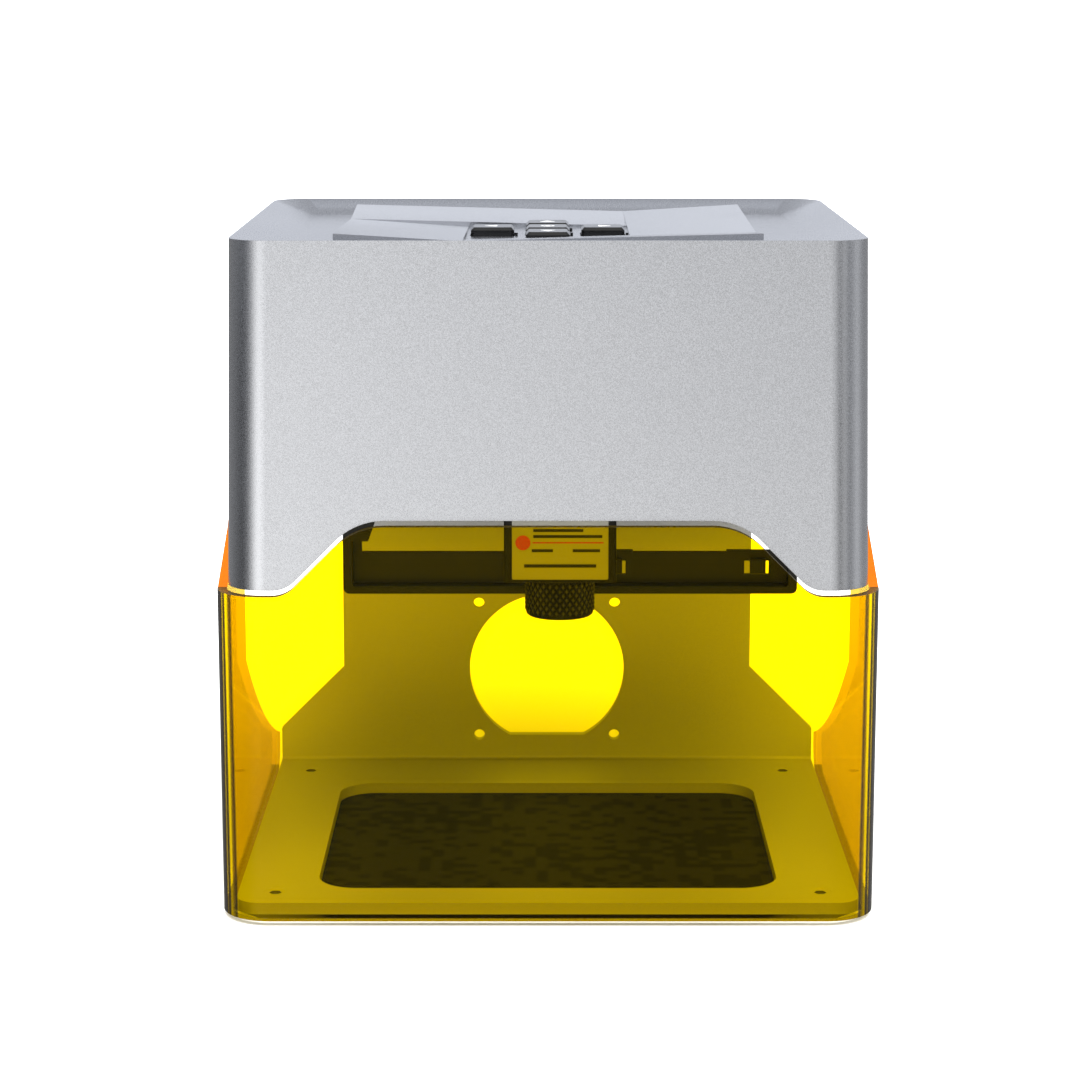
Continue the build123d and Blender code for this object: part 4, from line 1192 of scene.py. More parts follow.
@dataclass
class Visor:
    """Amber cover bent in a U, with an arm up each side of the hood."""

    wall: float = 2.4 * MM
    corner: float = 10.0 * MM
    edge_gap: float = 1.0 * MM
    corner_drop: float = 1.1 * MM
    hood_front: float = 3.0 * MM
    arm_start: float = 9.7 * MM
    arm_knee: float = 34.7 * MM
    arm_knee_rise: float = 10.9 * MM
    notch: float = 51.0 * MM
    notch_low: float = 55.5 * MM
    notch_high: float = 80.5 * MM
    notch_corners: Point = (1.0 * MM, 3.0 * MM)
    knee_corner: float = 12.0 * MM
    arm_tilt: float = 125.0
    wing_mid: Point = (81.8 * MM, 36.4 * MM)
    wing_end: float = 12.0 * MM
    wing_corner: float = 8.0 * MM
    boss: float = 8.0 * MM
    boss_steps: int = 20
    bore: float = 2.55 * MM
    edge: float = 0.18 * MM
    steps: int = 16
    surface: float = 0.12 * MM
    upright: float = 0.66

    def wing_curve(self, start: Point, through: Point, end: Point, steps: int = 12) -> list[Point]:
        """Points of the arc through three places, ends left out."""
        (x1, y1), (x2, y2), (x3, y3) = start, through, end
        d = 2 * (x1 * (y2 - y3) + x2 * (y3 - y1) + x3 * (y1 - y2))
        s1, s2, s3 = x1 * x1 + y1 * y1, x2 * x2 + y2 * y2, x3 * x3 + y3 * y3
        cx = (s1 * (y2 - y3) + s2 * (y3 - y1) + s3 * (y1 - y2)) / d
        cy = (s1 * (x3 - x2) + s2 * (x1 - x3) + s3 * (x2 - x1)) / d
        first, last = math.atan2(y1 - cy, x1 - cx), math.atan2(y3 - cy, x3 - cx)
        sweep = (last - first + math.pi) % (2 * math.pi) - math.pi
        radius = math.hypot(x1 - cx, y1 - cy)
        angles = (first + sweep * i / steps for i in range(1, steps))
        return [(cx + radius * math.cos(a), cy + radius * math.sin(a)) for a in angles]

    def profile(self, pivot: Vector, arch: Arch) -> list[Point]:
        """Side view of the visor in Y and Z."""
        low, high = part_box("visor_cover")
        front = low.y + self.hood_front
        top = arch.low + arch.rise - self.edge_gap
        step = arch.low - self.corner_drop
        end = (high.y, self.wing_end)
        notch = front + self.notch
        middle = (front + self.wing_mid[0], self.wing_mid[1])
        arc = self.wing_curve(end, middle, (notch, self.notch_low))
        tilt = math.radians(self.arm_tilt)
        boss = []
        for index in range(self.boss_steps + 1):
            angle = tilt - math.pi + math.pi * index / self.boss_steps
            boss.append(Corner(
                pivot.y + self.boss * math.cos(angle), pivot.z + self.boss * math.sin(angle)))
        corners = [
            Corner(low.y, top), Corner(low.y, low.z), Corner(high.y, low.z, self.wing_corner),
            Corner(*end), *[Corner(*p) for p in arc],
            Corner(notch, self.notch_low, self.notch_corners[0]),
            Corner(notch, self.notch_high, self.notch_corners[1]), *boss,
            Corner(front + self.arm_knee, step + self.arm_knee_rise, self.knee_corner),
            Corner(front + self.arm_start, step), Corner(front + self.arm_start, top),
        ]
        return rounded(corners, 8)

    def build(self) -> None:
        """Model the cover and mark its cut edges."""
        low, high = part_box("visor_cover")
        hinge = next(j for j in frame["joints"] if j["child"] == "visor")
        pivot = Vector(hinge["pos_m"])
        arch = Arch(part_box("hood_shell")[0].z)
        far, wall, bend = high.y + 20 * MM, self.wall, self.corner + self.wall
        outline = rounded([
            Corner(low.x, far), Corner(low.x, low.y, bend),
            Corner(high.x, low.y, bend), Corner(high.x, far), Corner(high.x - wall, far),
            Corner(high.x - wall, low.y + wall, self.corner),
            Corner(low.x + wall, low.y + wall, self.corner), Corner(low.x + wall, far),
        ], self.steps)
        cover = Bench.prism("visor", outline, Axis.Z, low.z - 2 * MM, high.z + 5 * MM)
        across = (low.x - 2 * MM, high.x + 2 * MM)
        Bench.keep_inside(cover, Bench.prism("side", self.profile(pivot, arch), Axis.X, *across))
        step = arch.low - self.corner_drop
        arms = low.y + self.hood_front + self.arm_start
        above = Bench.box("above", (low.x - MM, low.y - MM, step), (high.x + MM, arms, high.z))
        arc = arch.outline(self.edge_gap, step - 20 * MM)
        under = Bench.prism("under", arc, Axis.Y, low.y - 2 * MM, arms + MM)
        Bench.cut(cover, Bench.cut(above, under))
        Bench.cut(cover, Bench.bar("bore", self.bore, Axis.X, *across, (pivot.y, pivot.z), 40))
        Bench.soften(cover, self.edge, 2, 35.0)
        dress(
            cover, Finishes.AMBER, Finishes.AMBER_CUT, Finishes.AMBER_EDGE,
            Finishes.AMBER_BEND, Finishes.AMBER_SIDE, Finishes.AMBER_FOOT)
        self.mark_edges(cover, low, high)
        place_piece(cover, Body.VISOR, Finishes.AMBER, ["visor_cover"])

    def mark_edges(self, cover: Piece, low: Vector, high: Vector) -> None:
        """Give the bends and the faces cut across the sheet their own finish."""
        radius = self.corner + self.wall
        arms = low.y + self.hood_front + self.arm_start - MM
        for face in cover.data.polygons:
            c = face.center
            dx = max(abs(c.x) - (high.x - radius), 0.0)
            dy = max(low.y + radius - c.y, 0.0)
            depth = radius - math.hypot(dx, dy)
            if dx <= 0.0 and dy <= 0.0:
                depth = min(high.x - abs(c.x), c.y - low.y)
            on_sheet = min(abs(depth), abs(depth - self.wall)) < self.surface
            if on_sheet and abs(face.normal.z) < self.upright:
                turned = dx > 0.0 and dy > 0.0 and abs(depth) < self.surface
                kind = Cover.BEND if turned else Cover.SHEET
            # The cut faces below get finishes whose painted glow differs with where they are.
            elif c.y > arms and c.z > self.notch_high:
                kind = Cover.ARM_CUT
            elif c.z < low.z + MM:
                kind = Cover.FOOT_CUT
            else:
                kind = Cover.SIDE_CUT if c.y > low.y + self.notch / 2 else Cover.FRONT_CUT
            face.material_index = kind.value


@dataclass
class Chassis:
    """Bent base and spine, with the bed, feet and screws."""

    corner: float = 6.0 * MM
    bend: float = 4.0 * MM
    inner_bend: float = 1.0 * MM
    sheet: float = 3.0 * MM
    window_half: float = 59.0 * MM
    window_inset: float = 12.1 * MM
    window_depth: float = 97.7 * MM
    window_corner: float = 10.0 * MM
    shoulder: float = 12.3 * MM
    spine_half: float = 60.0 * MM
    spine_corner: float = 6.0 * MM
    exhaust_radius: float = 22.8 * MM
    exhaust_flat: float = 20.0 * MM
    exhaust_pitch: float = 40.0 * MM
    exhaust_hole: float = 1.6 * MM
    sink_head: float = 3.0 * MM
    sink_shank: float = 1.6 * MM
    screw_head: float = 2.9 * MM
    screw_shank: float = 1.5 * MM
    screw_depth: float = 1.4 * MM
    screw_socket: Point = (1.6 * MM, 0.4 * MM)
    bed_corner: float = 3.0 * MM
    pad_radius: float = 5.0 * MM
    pad_edge: float = 0.4 * MM
    pad_grooves: Point = (1.6 * MM, 3.0 * MM)
    edge: float = 0.25 * MM

    def plate(self) -> None:
        """Model the bent plate with its window and holes."""
        low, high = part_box("chassis_plate")
        top = low.z + self.sheet
        side = [
            (low.y, low.z), (high.y, low.z), (high.y, high.z), (high.y - self.sheet, high.z),
            (high.y - self.sheet, top), (low.y, top)]
        radii = [0.0, self.bend, 0.0, 0.0, self.inner_bend, 0.0]
        section = rounded([Corner(*place, radius) for place, radius in zip(side, radii)], 8)
        bent = Bench.prism("chassis", section, Axis.X, low.x, high.x)
        slope = high.x - self.spine_half
        front = rounded(mirrored([
            Corner(high.x + 5 * MM, low.z - 5 * MM),
            Corner(high.x + 5 * MM, low.z + self.shoulder - 5 * MM),
            Corner(self.spine_half, low.z + self.shoulder + slope),
            Corner(self.spine_half, high.z, self.spine_corner),
        ]), 8)
        Bench.keep_inside(bent, Bench.prism("front", front, Axis.Y, low.y - MM, high.y + MM))
        plan = rounded([
            Corner(low.x, low.y, self.corner), Corner(high.x, low.y, self.corner),
            Corner(high.x, high.y + MM), Corner(low.x, high.y + MM)], 10)
        Bench.keep_inside(bent, Bench.prism("plan", plan, Axis.Z, low.z - MM, high.z + MM))
        window_front = low.y + self.window_inset
        window = rounded_rectangle(
            (-self.window_half, self.window_half), (window_front, window_front + self.window_depth),
            self.window_corner, 12)
        Bench.cut(bent, Bench.prism("window", window, Axis.Z, low.z - MM, top + MM))
        Bench.cut(bent, *self.exhaust(high.y, self.centre()))
        for place in self.foot_screw_places():
            Bench.cut(bent, *self.sink(Axis.Z, top, place))
        for place in self.hood_screw_places():
            Bench.cut(bent, *self.sink(Axis.Y, high.y, place))
        Bench.cut(bent, *self.sockets())
        Bench.soften(bent, self.edge, 2)
        dress(bent, Finishes.PLATE, Finishes.PLATE_FRONT_SHADE)
        # Front-facing faces near the front edge get the darker copy, as painted shade.
        for face in bent.data.polygons:
            face.material_index = int(face.normal.y < -0.5 and face.center.y < low.y + self.corner)
        place_piece(bent, Body.CHASSIS, Finishes.PLATE, ["chassis_plate"])

    @staticmethod
    def hood_screw_places() -> list[Point]:
        """Places in X and Z of the hood's four screws, from their node's box."""
        low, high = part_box("hood_screws")
        return four_places(low.xz, high.xz, Chassis.screw_head)

    @staticmethod
    def sockets() -> list[Piece]:
        """Cutters round the power jack and the data socket."""
        grow = Vector((0.1, 0.1, 0.1)) * MM
        limits = [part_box(node) for node in ("dc_jack", "usb_socket")]
        return [Bench.box("socket", low - grow, high + grow) for low, high in limits]

    @staticmethod
    def centre() -> float:
        """Height of the exhaust opening's centre."""
        mount = next(m for m in frame["record"]["mounts"] if m["name"] == "exhaust_bolts")
        return float(mount["pos_m"][2])

    def exhaust(self, back: float, z: float) -> list[Piece]:
        """Cutters for the exhaust opening and its four holes."""
        limits = (back - self.sheet - MM, back + MM)
        opening = Bench.bar("opening", self.exhaust_radius, Axis.Y, *limits, (0.0, z), 96)
        below = Bench.box(
            "below", (-self.exhaust_radius, limits[0] - MM, z - 2 * self.exhaust_radius),
            (self.exhaust_radius, limits[1] + MM, z - self.exhaust_flat))
        cutters = [Bench.cut(opening, below)]
        half = self.exhaust_pitch / 2
        for place in four_places((-half, z - half), (half, z + half), 0.0):
            cutters.append(Bench.bar("hole", self.exhaust_hole, Axis.Y, *limits, place, 32))
        return cutters

    def sink(self, along: Axis, face: float, centre: Point) -> list[Piece]:
        """Cutters for a countersunk hole in an upward or backward face."""
        head, shank = self.sink_head, self.sink_shank
        return [
            Bench.bar("cone", shank, along, face - (head - shank), face, centre, 32, head),
            Bench.bar("shank", shank, along, face - 5 * MM, face + MM, centre, 32),
        ]

    @staticmethod
    def foot_screw_places() -> list[Point]:
        """Plan places of the four foot screws, from their node's box."""
        return four_places(*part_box("foot_screws"), Chassis.screw_head)

    def bed(self) -> None:
        """Model the work plate under the window."""
        low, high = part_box("work_plate")
        plan = rounded_rectangle((low.x, high.x), (low.y, high.y), self.bed_corner, 6)
        plate = Bench.prism("bed", plan, Axis.Z, low.z, high.z)
        Bench.soften(plate, 0.2 * MM, 2)
        place_piece(plate, Body.CHASSIS, Finishes.BED, ["work_plate"])

    def feet(self) -> None:
        """Model one foot and copy it to the others."""
        low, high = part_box("foot_pads")
        radius, edge, half, zero = self.pad_radius, self.pad_edge, 0.3 * MM, (0.0, 0.0)
        first = Bench.bar(
            "foot", radius - edge, Axis.Z, low.z, low.z + edge, zero, 48, radius)
        Bench.unite(first, Bench.bar("body", radius, Axis.Z, low.z + edge, high.z, zero, 48))
        for groove in self.pad_grooves:
            ring = Bench.bar(
                "ring", groove + half, Axis.Z, low.z - MM, low.z + 0.25 * MM, zero, 40)
            core = Bench.bar("core", groove - half, Axis.Z, low.z - 2 * MM, low.z + MM, zero, 40)
            Bench.cut(first, Bench.cut(ring, core))
        Bench.shade(first)
        places = four_places(low, high, radius)
        feet = [Bench.copy(first, (x, y, 0.0), "foot") for x, y in places]
        bpy.data.objects.remove(first)
        pads = Bench.join(feet, "feet")
        place_piece(pads, Body.CHASSIS, Finishes.RUBBER, ["foot_pads"])

    def screws(self) -> None:
        """Model one countersunk screw and copy it under each head."""
        low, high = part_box("foot_screws")
        shank, neck, zero = self.screw_shank, high.z - self.screw_depth, (0.0, 0.0)
        socket, sunk = self.screw_socket
        first = Bench.bar("screw", shank, Axis.Z, neck, high.z, zero, 40, self.screw_head)
        Bench.unite(first, Bench.bar("shank", shank, Axis.Z, low.z, neck, zero, 32))
        Bench.cut(first, Bench.bar("socket", socket, Axis.Z, high.z - sunk, high.z + MM, zero, 6))
        Bench.soften(first, 0.06 * MM, 2, 30.0)
        dress(first, Finishes.PLATE, Finishes.SOCKET_SHADE)
        # The socket's inner faces get the dark finish, as painted shade.
        margin = 0.05 * MM
        for face in first.data.polygons:
            inside = face.center.xy.length < socket
            face.material_index = int(inside and margin < high.z - face.center.z < sunk + margin)
        screws = [Bench.copy(first, (x, y, 0.0), "screw") for x, y in self.foot_screw_places()]
        bpy.data.objects.remove(first)
        screws = Bench.join(screws, "bed_screws")
        place_piece(screws, Body.CHASSIS, Finishes.PLATE, ["foot_screws"])

    def build(self) -> None:
        """Model the plate, bed, feet and screws."""
        self.plate()
        self.bed()
        self.feet()
        self.screws()


@dataclass
class Beam:
    """Black frame across the machine, with a tray along its foot."""

    rim: float = 2.4 * MM
    lip: float = 2.0 * MM
    skin: float = 1.5 * MM
    corner: float = 1.6 * MM
    column: float = 4.9 * MM
    tray: float = 10.9 * MM
    lintel: float = 6.0 * MM
    window: Point = (6.8 * MM, 3.8 * MM)
    window_rise: float = 6.5 * MM
    window_places: tuple[float, ...] = (18.3 * MM, 58.0 * MM)
    recess_corner: float = 0.8 * MM
    gusset_foot: float = 3.8 * MM
    gusset_knee: float = 5.0 * MM
    gusset_top: float = 6.8 * MM
    gusset_reach: Point = (2.0 * MM, 3.8 * MM)
    tab_out: float = 2.0 * MM
    tab_inset: Point = (1.4 * MM, 1.0 * MM)
    tab_thick: float = 0.8 * MM
    tab_rise: float = 0.6 * MM
    patch_reach: Point = (5.0 * MM, 2.0 * MM)
    clear: float = 0.05 * MM
    edge: float = 0.22 * MM

    def build(self) -> None:
        """Model the frame with its windows, tabs and gusset."""
        low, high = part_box("x_beam")
        top = high.z
        shape = rounded([
            Corner(low.x, low.z, self.corner), Corner(high.x, low.z, self.corner),
            Corner(high.x, top), Corner(low.x, top)], 6)
        beam = Bench.prism("beam", shape, Axis.Y, low.y, high.y)
        back = high.y - self.skin
        inner = (low.x + self.rim, high.x - self.rim)
        recess = rounded([
            Corner(inner[0], low.z + self.lip, self.recess_corner),
            Corner(inner[1], low.z + self.lip, self.recess_corner),
            Corner(inner[1], top - self.lintel), Corner(inner[0], top - self.lintel)], 5)
        Bench.cut(beam, Bench.prism("recess", recess, Axis.Y, low.y - MM, back))
        tray_top = low.z + self.tray
        foot = tray_top + self.gusset_foot
        near, far = (low.x + self.column + reach for reach in self.gusset_reach)
        gusset = rounded([
            Corner(inner[0] - MM, foot), Corner(near, foot, 0.4 * MM),
            Corner(far, foot + self.gusset_knee), Corner(far, foot + self.gusset_top),
            Corner(inner[0] - MM, foot + self.gusset_top)], 4)
        Bench.unite(beam, Bench.prism(
            "gusset", gusset, Axis.Y, low.y + self.clear, low.y + self.skin))
        opening = (low.x + self.column, high.x - self.column)
        Bench.cut(beam, Bench.box(
            "opening", (opening[0], back - MM, tray_top),
            (opening[1], high.y + MM, top - self.lintel)))
        bottom = low.z + self.window_rise - self.window[1] / 2
        over = low.z + self.window_rise + self.window[1] / 2
        edge, rise = back - self.tab_out, self.tab_rise
        for x in self.window_places:
            left, right = x - self.window[0] / 2, x + self.window[0] / 2
            Bench.cut(beam, Bench.box(
                "window", (left, back - MM, bottom), (right, high.y + MM, over)))
            start, end = left + self.tab_inset[0], right - self.tab_inset[1]
            tab = Bench.box(
                "tab", (start, edge, bottom + rise), (end, edge + self.tab_thick, over + rise))
            arm = Bench.box(
                "arm", (start, edge, over - 0.2 * MM), (end, back + 0.3 * MM, over + rise))
            raised = Bench.box(
                "raised", (left - self.patch_reach[0], back + self.clear, tray_top - MM),
                (right + self.patch_reach[1], high.y - self.clear, tray_top + 0.5 * MM))
            Bench.unite(beam, Bench.unite(tab, arm), raised)
        Bench.soften(beam, self.edge, 2)
        place_piece(beam, Body.CARRIAGE, Finishes.BEAM, ["x_beam"])


@dataclass
class LaserModule:
    """Finned module with its front plate, castellated neck and knurled ring."""

    fins: int = 7
    fin_depth: float = 4.5 * MM
    fin_slot: float = 1.7 * MM
    chamfer: float = 0.6 * MM
    barrel: float = 6.53 * MM
    castle: float = 8.8 * MM
    castle_height: float = 0.5 * MM
    castles: int = 18
    tooth: Point = (1.8 * MM, 0.8 * MM)
    dot: Triple = (2.9 * MM, 9.9 * MM, 2.0 * MM)
    line: tuple[float, float, float, float] = (5.4 * MM, 1.3 * MM, 9.75 * MM, 10.1 * MM)
    bars: tuple[tuple[float, float, float, float], ...] = (
        (5.6, 6.6, 13.2, 0.8), (5.6, 1.6, 11.6, 0.8), (5.2, 14.6, 7.8, 0.8),
        (16.0, 2.2, 7.8, 0.8), (3.2, 3.2, 3.7, 0.9))
    ring_border: float = 0.7 * MM
    ring_chamfer: Point = (0.5 * MM, 0.4 * MM)
    ring_bore: float = 6.6 * MM
    knurls: int = 32
    knurl_rows: int = 8
    knurl_depth: float = 0.52 * MM

    def heatsink(self) -> None:
        """Model the finned block and the teeth under it."""
        low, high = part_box("laser_heatsink")
        bottom = low.z + self.castle_height
        x, y = (low.x + high.x) / 2, (low.y + high.y) / 2
        plan = rounded_rectangle((low.x, high.x), (low.y, high.y), self.chamfer, 3)
        block = Bench.prism("laser_block", plan, Axis.Z, bottom, high.z)
        pitch = (high.y - low.y - 4 * MM) / self.fins
        depth, half = self.fin_depth, self.fin_slot / 2
        for index in range(self.fins):
            middle = low.y + 2 * MM + (index + 0.5) * pitch
            for side in (low.x, high.x):
                Bench.cut(block, Bench.box(
                    "slot", (side - depth, middle - half, bottom + 2 * MM),
                    (side + depth, middle + half, high.z + MM)))
        Bench.cut(block, Bench.bar(
            "bore", self.barrel, Axis.Z, bottom - MM, bottom + 12 * MM, (x, y), 48))
        Bench.soften(block, 0.15 * MM, 2)
        teeth = []
        for index in range(self.castles):
            angle = 2 * math.pi * (index + 0.5) / self.castles
            tooth = Bench.box(
                "tooth", (self.castle - self.tooth[0], -self.tooth[1], low.z),
                (self.castle, self.tooth[1], bottom))
            Bench.pick(tooth)
            tooth.rotation_euler = (0.0, 0.0, angle)
            tooth.location = (x, y, 0.0)
            bpy.ops.object.transform_apply(location=True, rotation=True, scale=True)
            teeth.append(tooth)
        module = Bench.join([block, *teeth], "laser_block")
        place_piece(module, Body.HEAD, Finishes.LASER, ["laser_heatsink"])

    def label(self) -> None:
        """Model the front plate and the plain marks on it."""
        low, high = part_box("laser_label")
        plan = rounded_rectangle((low.x, high.x), (low.z, high.z), 0.4 * MM, 4)
        plate = Bench.prism("front_plate", plan, Axis.Y, low.y, high.y)
        Bench.soften(plate, 0.08 * MM, 2)
        place_piece(plate, Body.HEAD, Finishes.LABEL, ["laser_label"])
        proud, back = low.y - 0.05 * MM, low.y + 0.1 * MM
        x, z, radius = self.dot
        dot = Bench.bar("dot", radius, Axis.Y, proud, back, (low.x + x, low.z + z), 48)
        left, right, bottom, top = self.line
        line = Bench.box(
            "line", (low.x + left, proud, low.z + bottom), (high.x - right, back, low.z + top))
        red = Bench.join([dot, line], "red_mark")
        place_piece(red, Body.HEAD, Finishes.RED_MARK)
        pieces = [
            Bench.box(
                "bar", (low.x + left * MM, proud, low.z + z * MM - thick * MM / 2),
                (high.x - right * MM, back, low.z + z * MM + thick * MM / 2))
            for left, right, z, thick in self.bars]
        place_piece(Bench.join(pieces, "grey_bars"), Body.HEAD, Finishes.GREY_MARK)

    def ring(self) -> None:
        """Model the focus ring with a raised diamond knurl."""
        low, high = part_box("focus_ring")
        x, y = (low.x + high.x) / 2, (low.y + high.y) / 2
        radius = (high.x - low.x) / 2
        border = self.ring_border
        span = high.z - low.z - 2 * border
        columns, rows = 2 * self.knurls, self.knurl_rows
        Bench.clear()
        bpy.ops.mesh.primitive_grid_add(x_subdivisions=columns, y_subdivisions=rows, size=1.0)
        skin = Bench.name(bpy.context.object, "knurl")
        for vertex in skin.data.vertices:
            column = round((vertex.co.x + 0.5) * columns)
            row = round((vertex.co.y + 0.5) * rows)
            valley = (column + row) % 2 == 1 or row in (0, rows)
            reach = radius - (self.knurl_depth if valley else 0.0)
            angle = 2 * math.pi * column / columns
            vertex.co = (
                x + reach * math.cos(angle), y + reach * math.sin(angle),
                low.z + border + span * row / rows)
        Bench.face_out(skin)
        bpy.ops.object.mode_set(mode="EDIT")
        bpy.ops.mesh.select_all(action="SELECT")
        bpy.ops.mesh.quads_convert_to_tris(quad_method="SHORTEST_DIAGONAL")
        bpy.ops.mesh.select_all(action="DESELECT")
        bpy.ops.mesh.select_non_manifold()
        bpy.ops.mesh.edge_face_add()
        bpy.ops.object.mode_set(mode="OBJECT")
        core = radius - self.knurl_depth
        small, tall = core - self.ring_chamfer[0], self.ring_chamfer[1]
        bands = (
            (small, low.z, low.z + tall, core), (core, low.z + tall, low.z + border, None),
            (core, high.z - border, high.z - tall, None), (core, high.z - tall, high.z, small))
        ring = Bench.unite(skin, *[
            Bench.bar("band", start, Axis.Z, bottom, top, (x, y), columns, end)
            for start, bottom, top, end in bands])
        Bench.cut(ring, Bench.bar(
            "bore", self.ring_bore, Axis.Z, low.z - MM, high.z + MM, (x, y), 64))
        Bench.name(ring, "knurled_ring")
        Bench.pick(ring)
        bpy.ops.object.shade_smooth_by_angle(angle=math.radians(12.0))
        finish = KnurledMetal("knurl_anodised", (x, y), radius, self.knurl_depth)
        place_piece(ring, Body.FOCUS, finish, ["focus_ring"])

    def build(self) -> None:
        """Model every piece of the module."""
        self.heatsink()
        self.label()
        self.ring()


class Mechanism:
    """Finishes for the CAD nodes whose shape is already right."""

    FINISHES: dict[Finish, tuple[str, ...]] = {
        Finishes.SCREW: ("hood_screws",),
        Finishes.STEEL: ("pivot_screws", "pivot_nuts", "y_rods", "y_screw", "x_screw"),
        Finishes.RAIL: ("x_rods",),
        Finishes.NYLON: ("pivot_washers",),
        Finishes.KEY: ("indicator_lamps",),
        Finishes.BOARD: ("control_board",),
        Finishes.CAN: ("y_motor", "x_motor"),
        Finishes.BRONZE: ("y_bushings", "x_bushings"),
        Finishes.BRASS: ("y_nut", "x_nut"),
        Finishes.BEAM: ("beam_hangers",),
        Finishes.LASER: ("lens_barrel",),
        Finishes.LENS: ("focus_lens",),
        Finishes.PLASTIC: (
            "tact_switches", "dc_jack", "usb_socket", "front_rod_holders", "rear_rod_holders",
            "y_slide_left", "y_slide_right", "x_blocks", "x_slider", "fan_frame", "fan_rotor",
            "board_standoffs"),
    }

    def build(self) -> None:
        """Dress each node."""
        for finish, nodes in self.FINISHES.items():
            for node in nodes:
                dress_slots(frame["nodes"][node], finish)
                LOG.info("%s: finish %s", node, finish.name)


def dress_slots(node: Piece, finish: Finish) -> None:
    """Assign a finish to every material slot of a CAD node."""
    for slot in node.material_slots:
        slot.material = finish.material()


# ---------------------------------------------------------------- studio


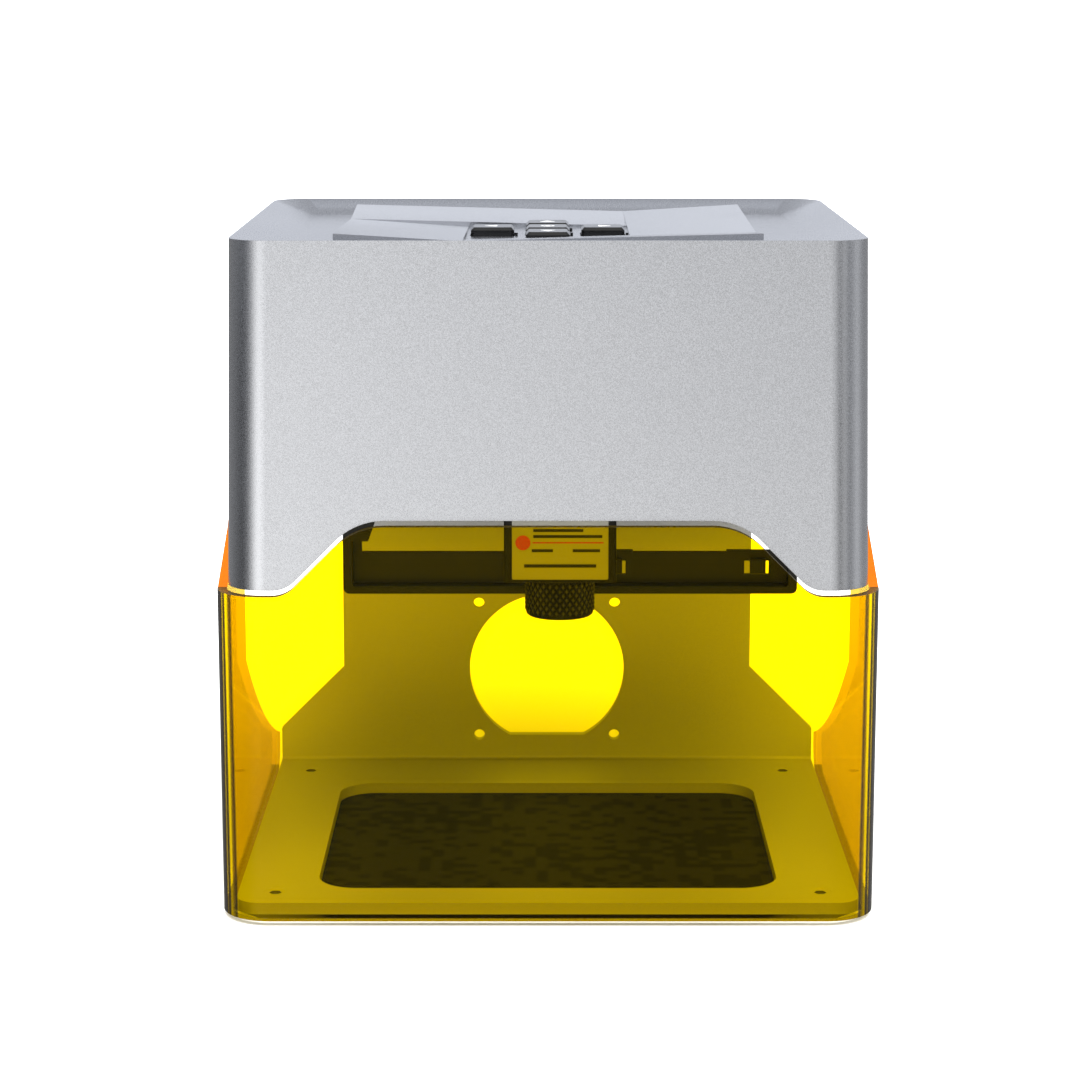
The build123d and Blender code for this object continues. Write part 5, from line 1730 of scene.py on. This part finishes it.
@dataclass
class Studio:
    """Floor, soft light and camera."""

    camera_place: Triple = (-0.002009, -0.7514, 0.2302)
    pitch: float = 79.014
    lens: float = 94.955
    sensor: float = 36.0
    floor_half: float = 6.0
    white: float = 1.6
    sun_strength: float = 2.7
    sun_softness: float = 55.0
    sun_tilt: Point = (38.0, 18.0)
    fill_place: Triple = (0.0, -1.0, 1.1)
    fill_aim: Triple = (0.0, -0.03, 0.01)
    fill_size: Point = (1.2, 0.8)
    fill_power: float = 22.0
    strength: float = 1.9
    slope: float = 1.4
    horizon: float = 0.15
    steep: Point = (-0.80, -0.30)
    deep: float = 0.5
    strips: tuple[Triple, ...] = (
        (0.000, 0.30, 0.04), (0.153, 0.26, 0.04), (0.231, 0.15, 0.04), (0.283, 0.07, 0.04),
        (0.314, 0.10, 0.04), (0.344, 0.24, 0.04), (0.375, 0.72, 0.00), (0.397, 1.35, 0.00),
        (0.428, 1.85, 0.00), (0.461, 1.50, 0.00), (0.486, 1.32, 0.00), (0.500, 1.10, 0.00),
        (0.514, 0.90, 0.00), (0.547, 0.86, 0.00), (0.567, 0.58, 0.00), (0.586, 0.18, 0.00),
        (0.606, 0.42, 0.00), (0.625, 0.76, 0.00), (0.647, 0.45, 0.04), (0.669, 0.28, 0.04),
        (0.706, 0.50, 0.04), (0.744, 0.80, 0.04), (0.786, 0.50, 0.04), (0.828, 0.36, 0.04),
        (0.917, 0.40, 0.04), (1.000, 0.30, 0.04))
    heights: tuple[Triple, ...] = (
        (0.500, 0.50, 0.10), (0.520, 0.62, 0.12), (0.545, 0.86, 0.14), (0.580, 1.02, 0.12),
        (0.640, 0.95, 0.12), (0.760, 0.66, 0.14), (0.840, 0.46, 0.16), (0.900, 0.80, 0.05),
        (1.000, 1.20, 0.0))

    def floor(self) -> None:
        """A wide pale floor under the feet."""
        Bench.clear()
        bpy.ops.mesh.primitive_plane_add(size=2 * self.floor_half, location=(0.0, 0.0, 0.0))
        floor = Bench.name(bpy.context.object, "floor")
        dress(floor, Finishes.FLOOR)
        floor.visible_glossy = False

    def fill(self) -> None:
        """One soft rectangular light in front, which isn't mirrored."""
        lamp = bpy.data.lights.new("fill", "AREA")
        lamp.shape, lamp.energy = "RECTANGLE", self.fill_power
        lamp.size, lamp.size_y = self.fill_size
        holder = self.link("fill", lamp)
        holder.location = self.fill_place
        way = Vector(self.fill_aim) - Vector(self.fill_place)
        holder.rotation_euler = way.to_track_quat("-Z", "Y").to_euler()
        holder.visible_camera = holder.visible_glossy = False

    def sun(self) -> None:
        """One broad, soft light from far above the front."""
        lamp = bpy.data.lights.new("sun", "SUN")
        lamp.energy, lamp.angle = self.sun_strength, math.radians(self.sun_softness)
        holder = self.link("sun", lamp)
        tilt, turn = self.sun_tilt
        holder.rotation_euler = (math.radians(tilt), 0.0, math.radians(turn))
        holder.visible_glossy = False

    @staticmethod
    def link(name: str, data: bpy.types.ID) -> Piece:
        """A new object for a light or a camera, in the scene."""
        holder = bpy.data.objects.new(name, data)
        bpy.context.scene.collection.objects.link(holder)
        return holder

    def world(self) -> None:
        """White behind the object, with soft strips for what it mirrors."""
        world = bpy.data.worlds.new("studio")
        bpy.context.scene.world = world
        sheet = Sheet(world)
        coordinates = sheet.node("ShaderNodeTexCoord")
        x, y, z = sheet.parts(sheet.wire(coordinates, "Generated"))
        turn = x.maths("ARCTAN2", y * -1.0) * (0.5 / math.pi) + 0.5
        around = self.ramp(sheet, turn, self.strips)
        above = self.ramp(sheet, z * 0.5 + 0.5, self.heights)
        rise = 1.0 - (z.maths("MAXIMUM", self.steep[1]) + self.horizon) * self.slope
        fade = z.over(*self.steep) * (1.0 - self.deep) + self.deep
        slope = sheet.node(
            "ShaderNodeVectorMath", {"operation": "SCALE"}, {0: around, "Scale": rise * fade})
        level = sheet.blend(z.over(-0.01, 0.05), sheet.wire(slope), above)
        soft, white = (
            sheet.wire(sheet.node("ShaderNodeBackground", None, {"Color": c, "Strength": power}))
            for c, power in ((level, self.strength), ((1.0, 1.0, 1.0, 1.0), self.white)))
        seen = sheet.node("ShaderNodeLightPath")
        sheet.finish(sheet.wire(sheet.node("ShaderNodeMixShader", None, {
            0: seen.outputs["Is Camera Ray"], 1: soft, 2: white})))

    def ramp(self, sheet: Sheet, place: Wire, stops: Sequence[tuple[float, float, float]]) -> Wire:
        """Ramp of levels, each with its share of blue.

        Args:
            sheet: The world's nodes.
            place: Where on the ramp, from zero to one.
            stops: Place, level and blueness of each stop.

        Returns:
            The colour, scaled down by the studio's strength.
        """
        colours = [
            (at, tuple(level / self.strength * (1.0 - blue * cool) for cool in (1.0, 0.72, 0.0)))
            for at, level, blue in stops]
        return sheet.wire(sheet.node("ShaderNodeValToRGB", {"stops": colours}, {0: place}))

    def camera(self) -> None:
        """Camera in front of the machine and a little above it."""
        data = bpy.data.cameras.new("camera")
        data.lens, data.sensor_width, data.sensor_fit = self.lens, self.sensor, "HORIZONTAL"
        data.clip_start, data.clip_end = 0.01, 50.0
        camera = self.link("camera", data)
        camera.location = self.camera_place
        camera.rotation_euler = (math.radians(self.pitch), 0.0, 0.0)
        bpy.context.scene.camera = camera

    def build(self) -> None:
        """Set the whole studio."""
        self.floor()
        self.world()
        self.camera()
        self.sun()
        self.fill()
        view = bpy.context.scene.view_settings
        view.view_transform = "Standard"
        view.look = "None"


def main() -> None:
    """Build every sub-assembly and the studio."""
    logging.basicConfig(level=logging.INFO, format="%(name)s %(message)s")
    Studio().build()
    kinds = (Chassis, Hood, ControlPanel, KeyPad, Visor, Beam, LaserModule, Mechanism)
    for assembly in (kind() for kind in kinds):
        LOG.info("building %s", type(assembly).__name__)
        assembly.build()


if __name__ == "__main__":
    main()
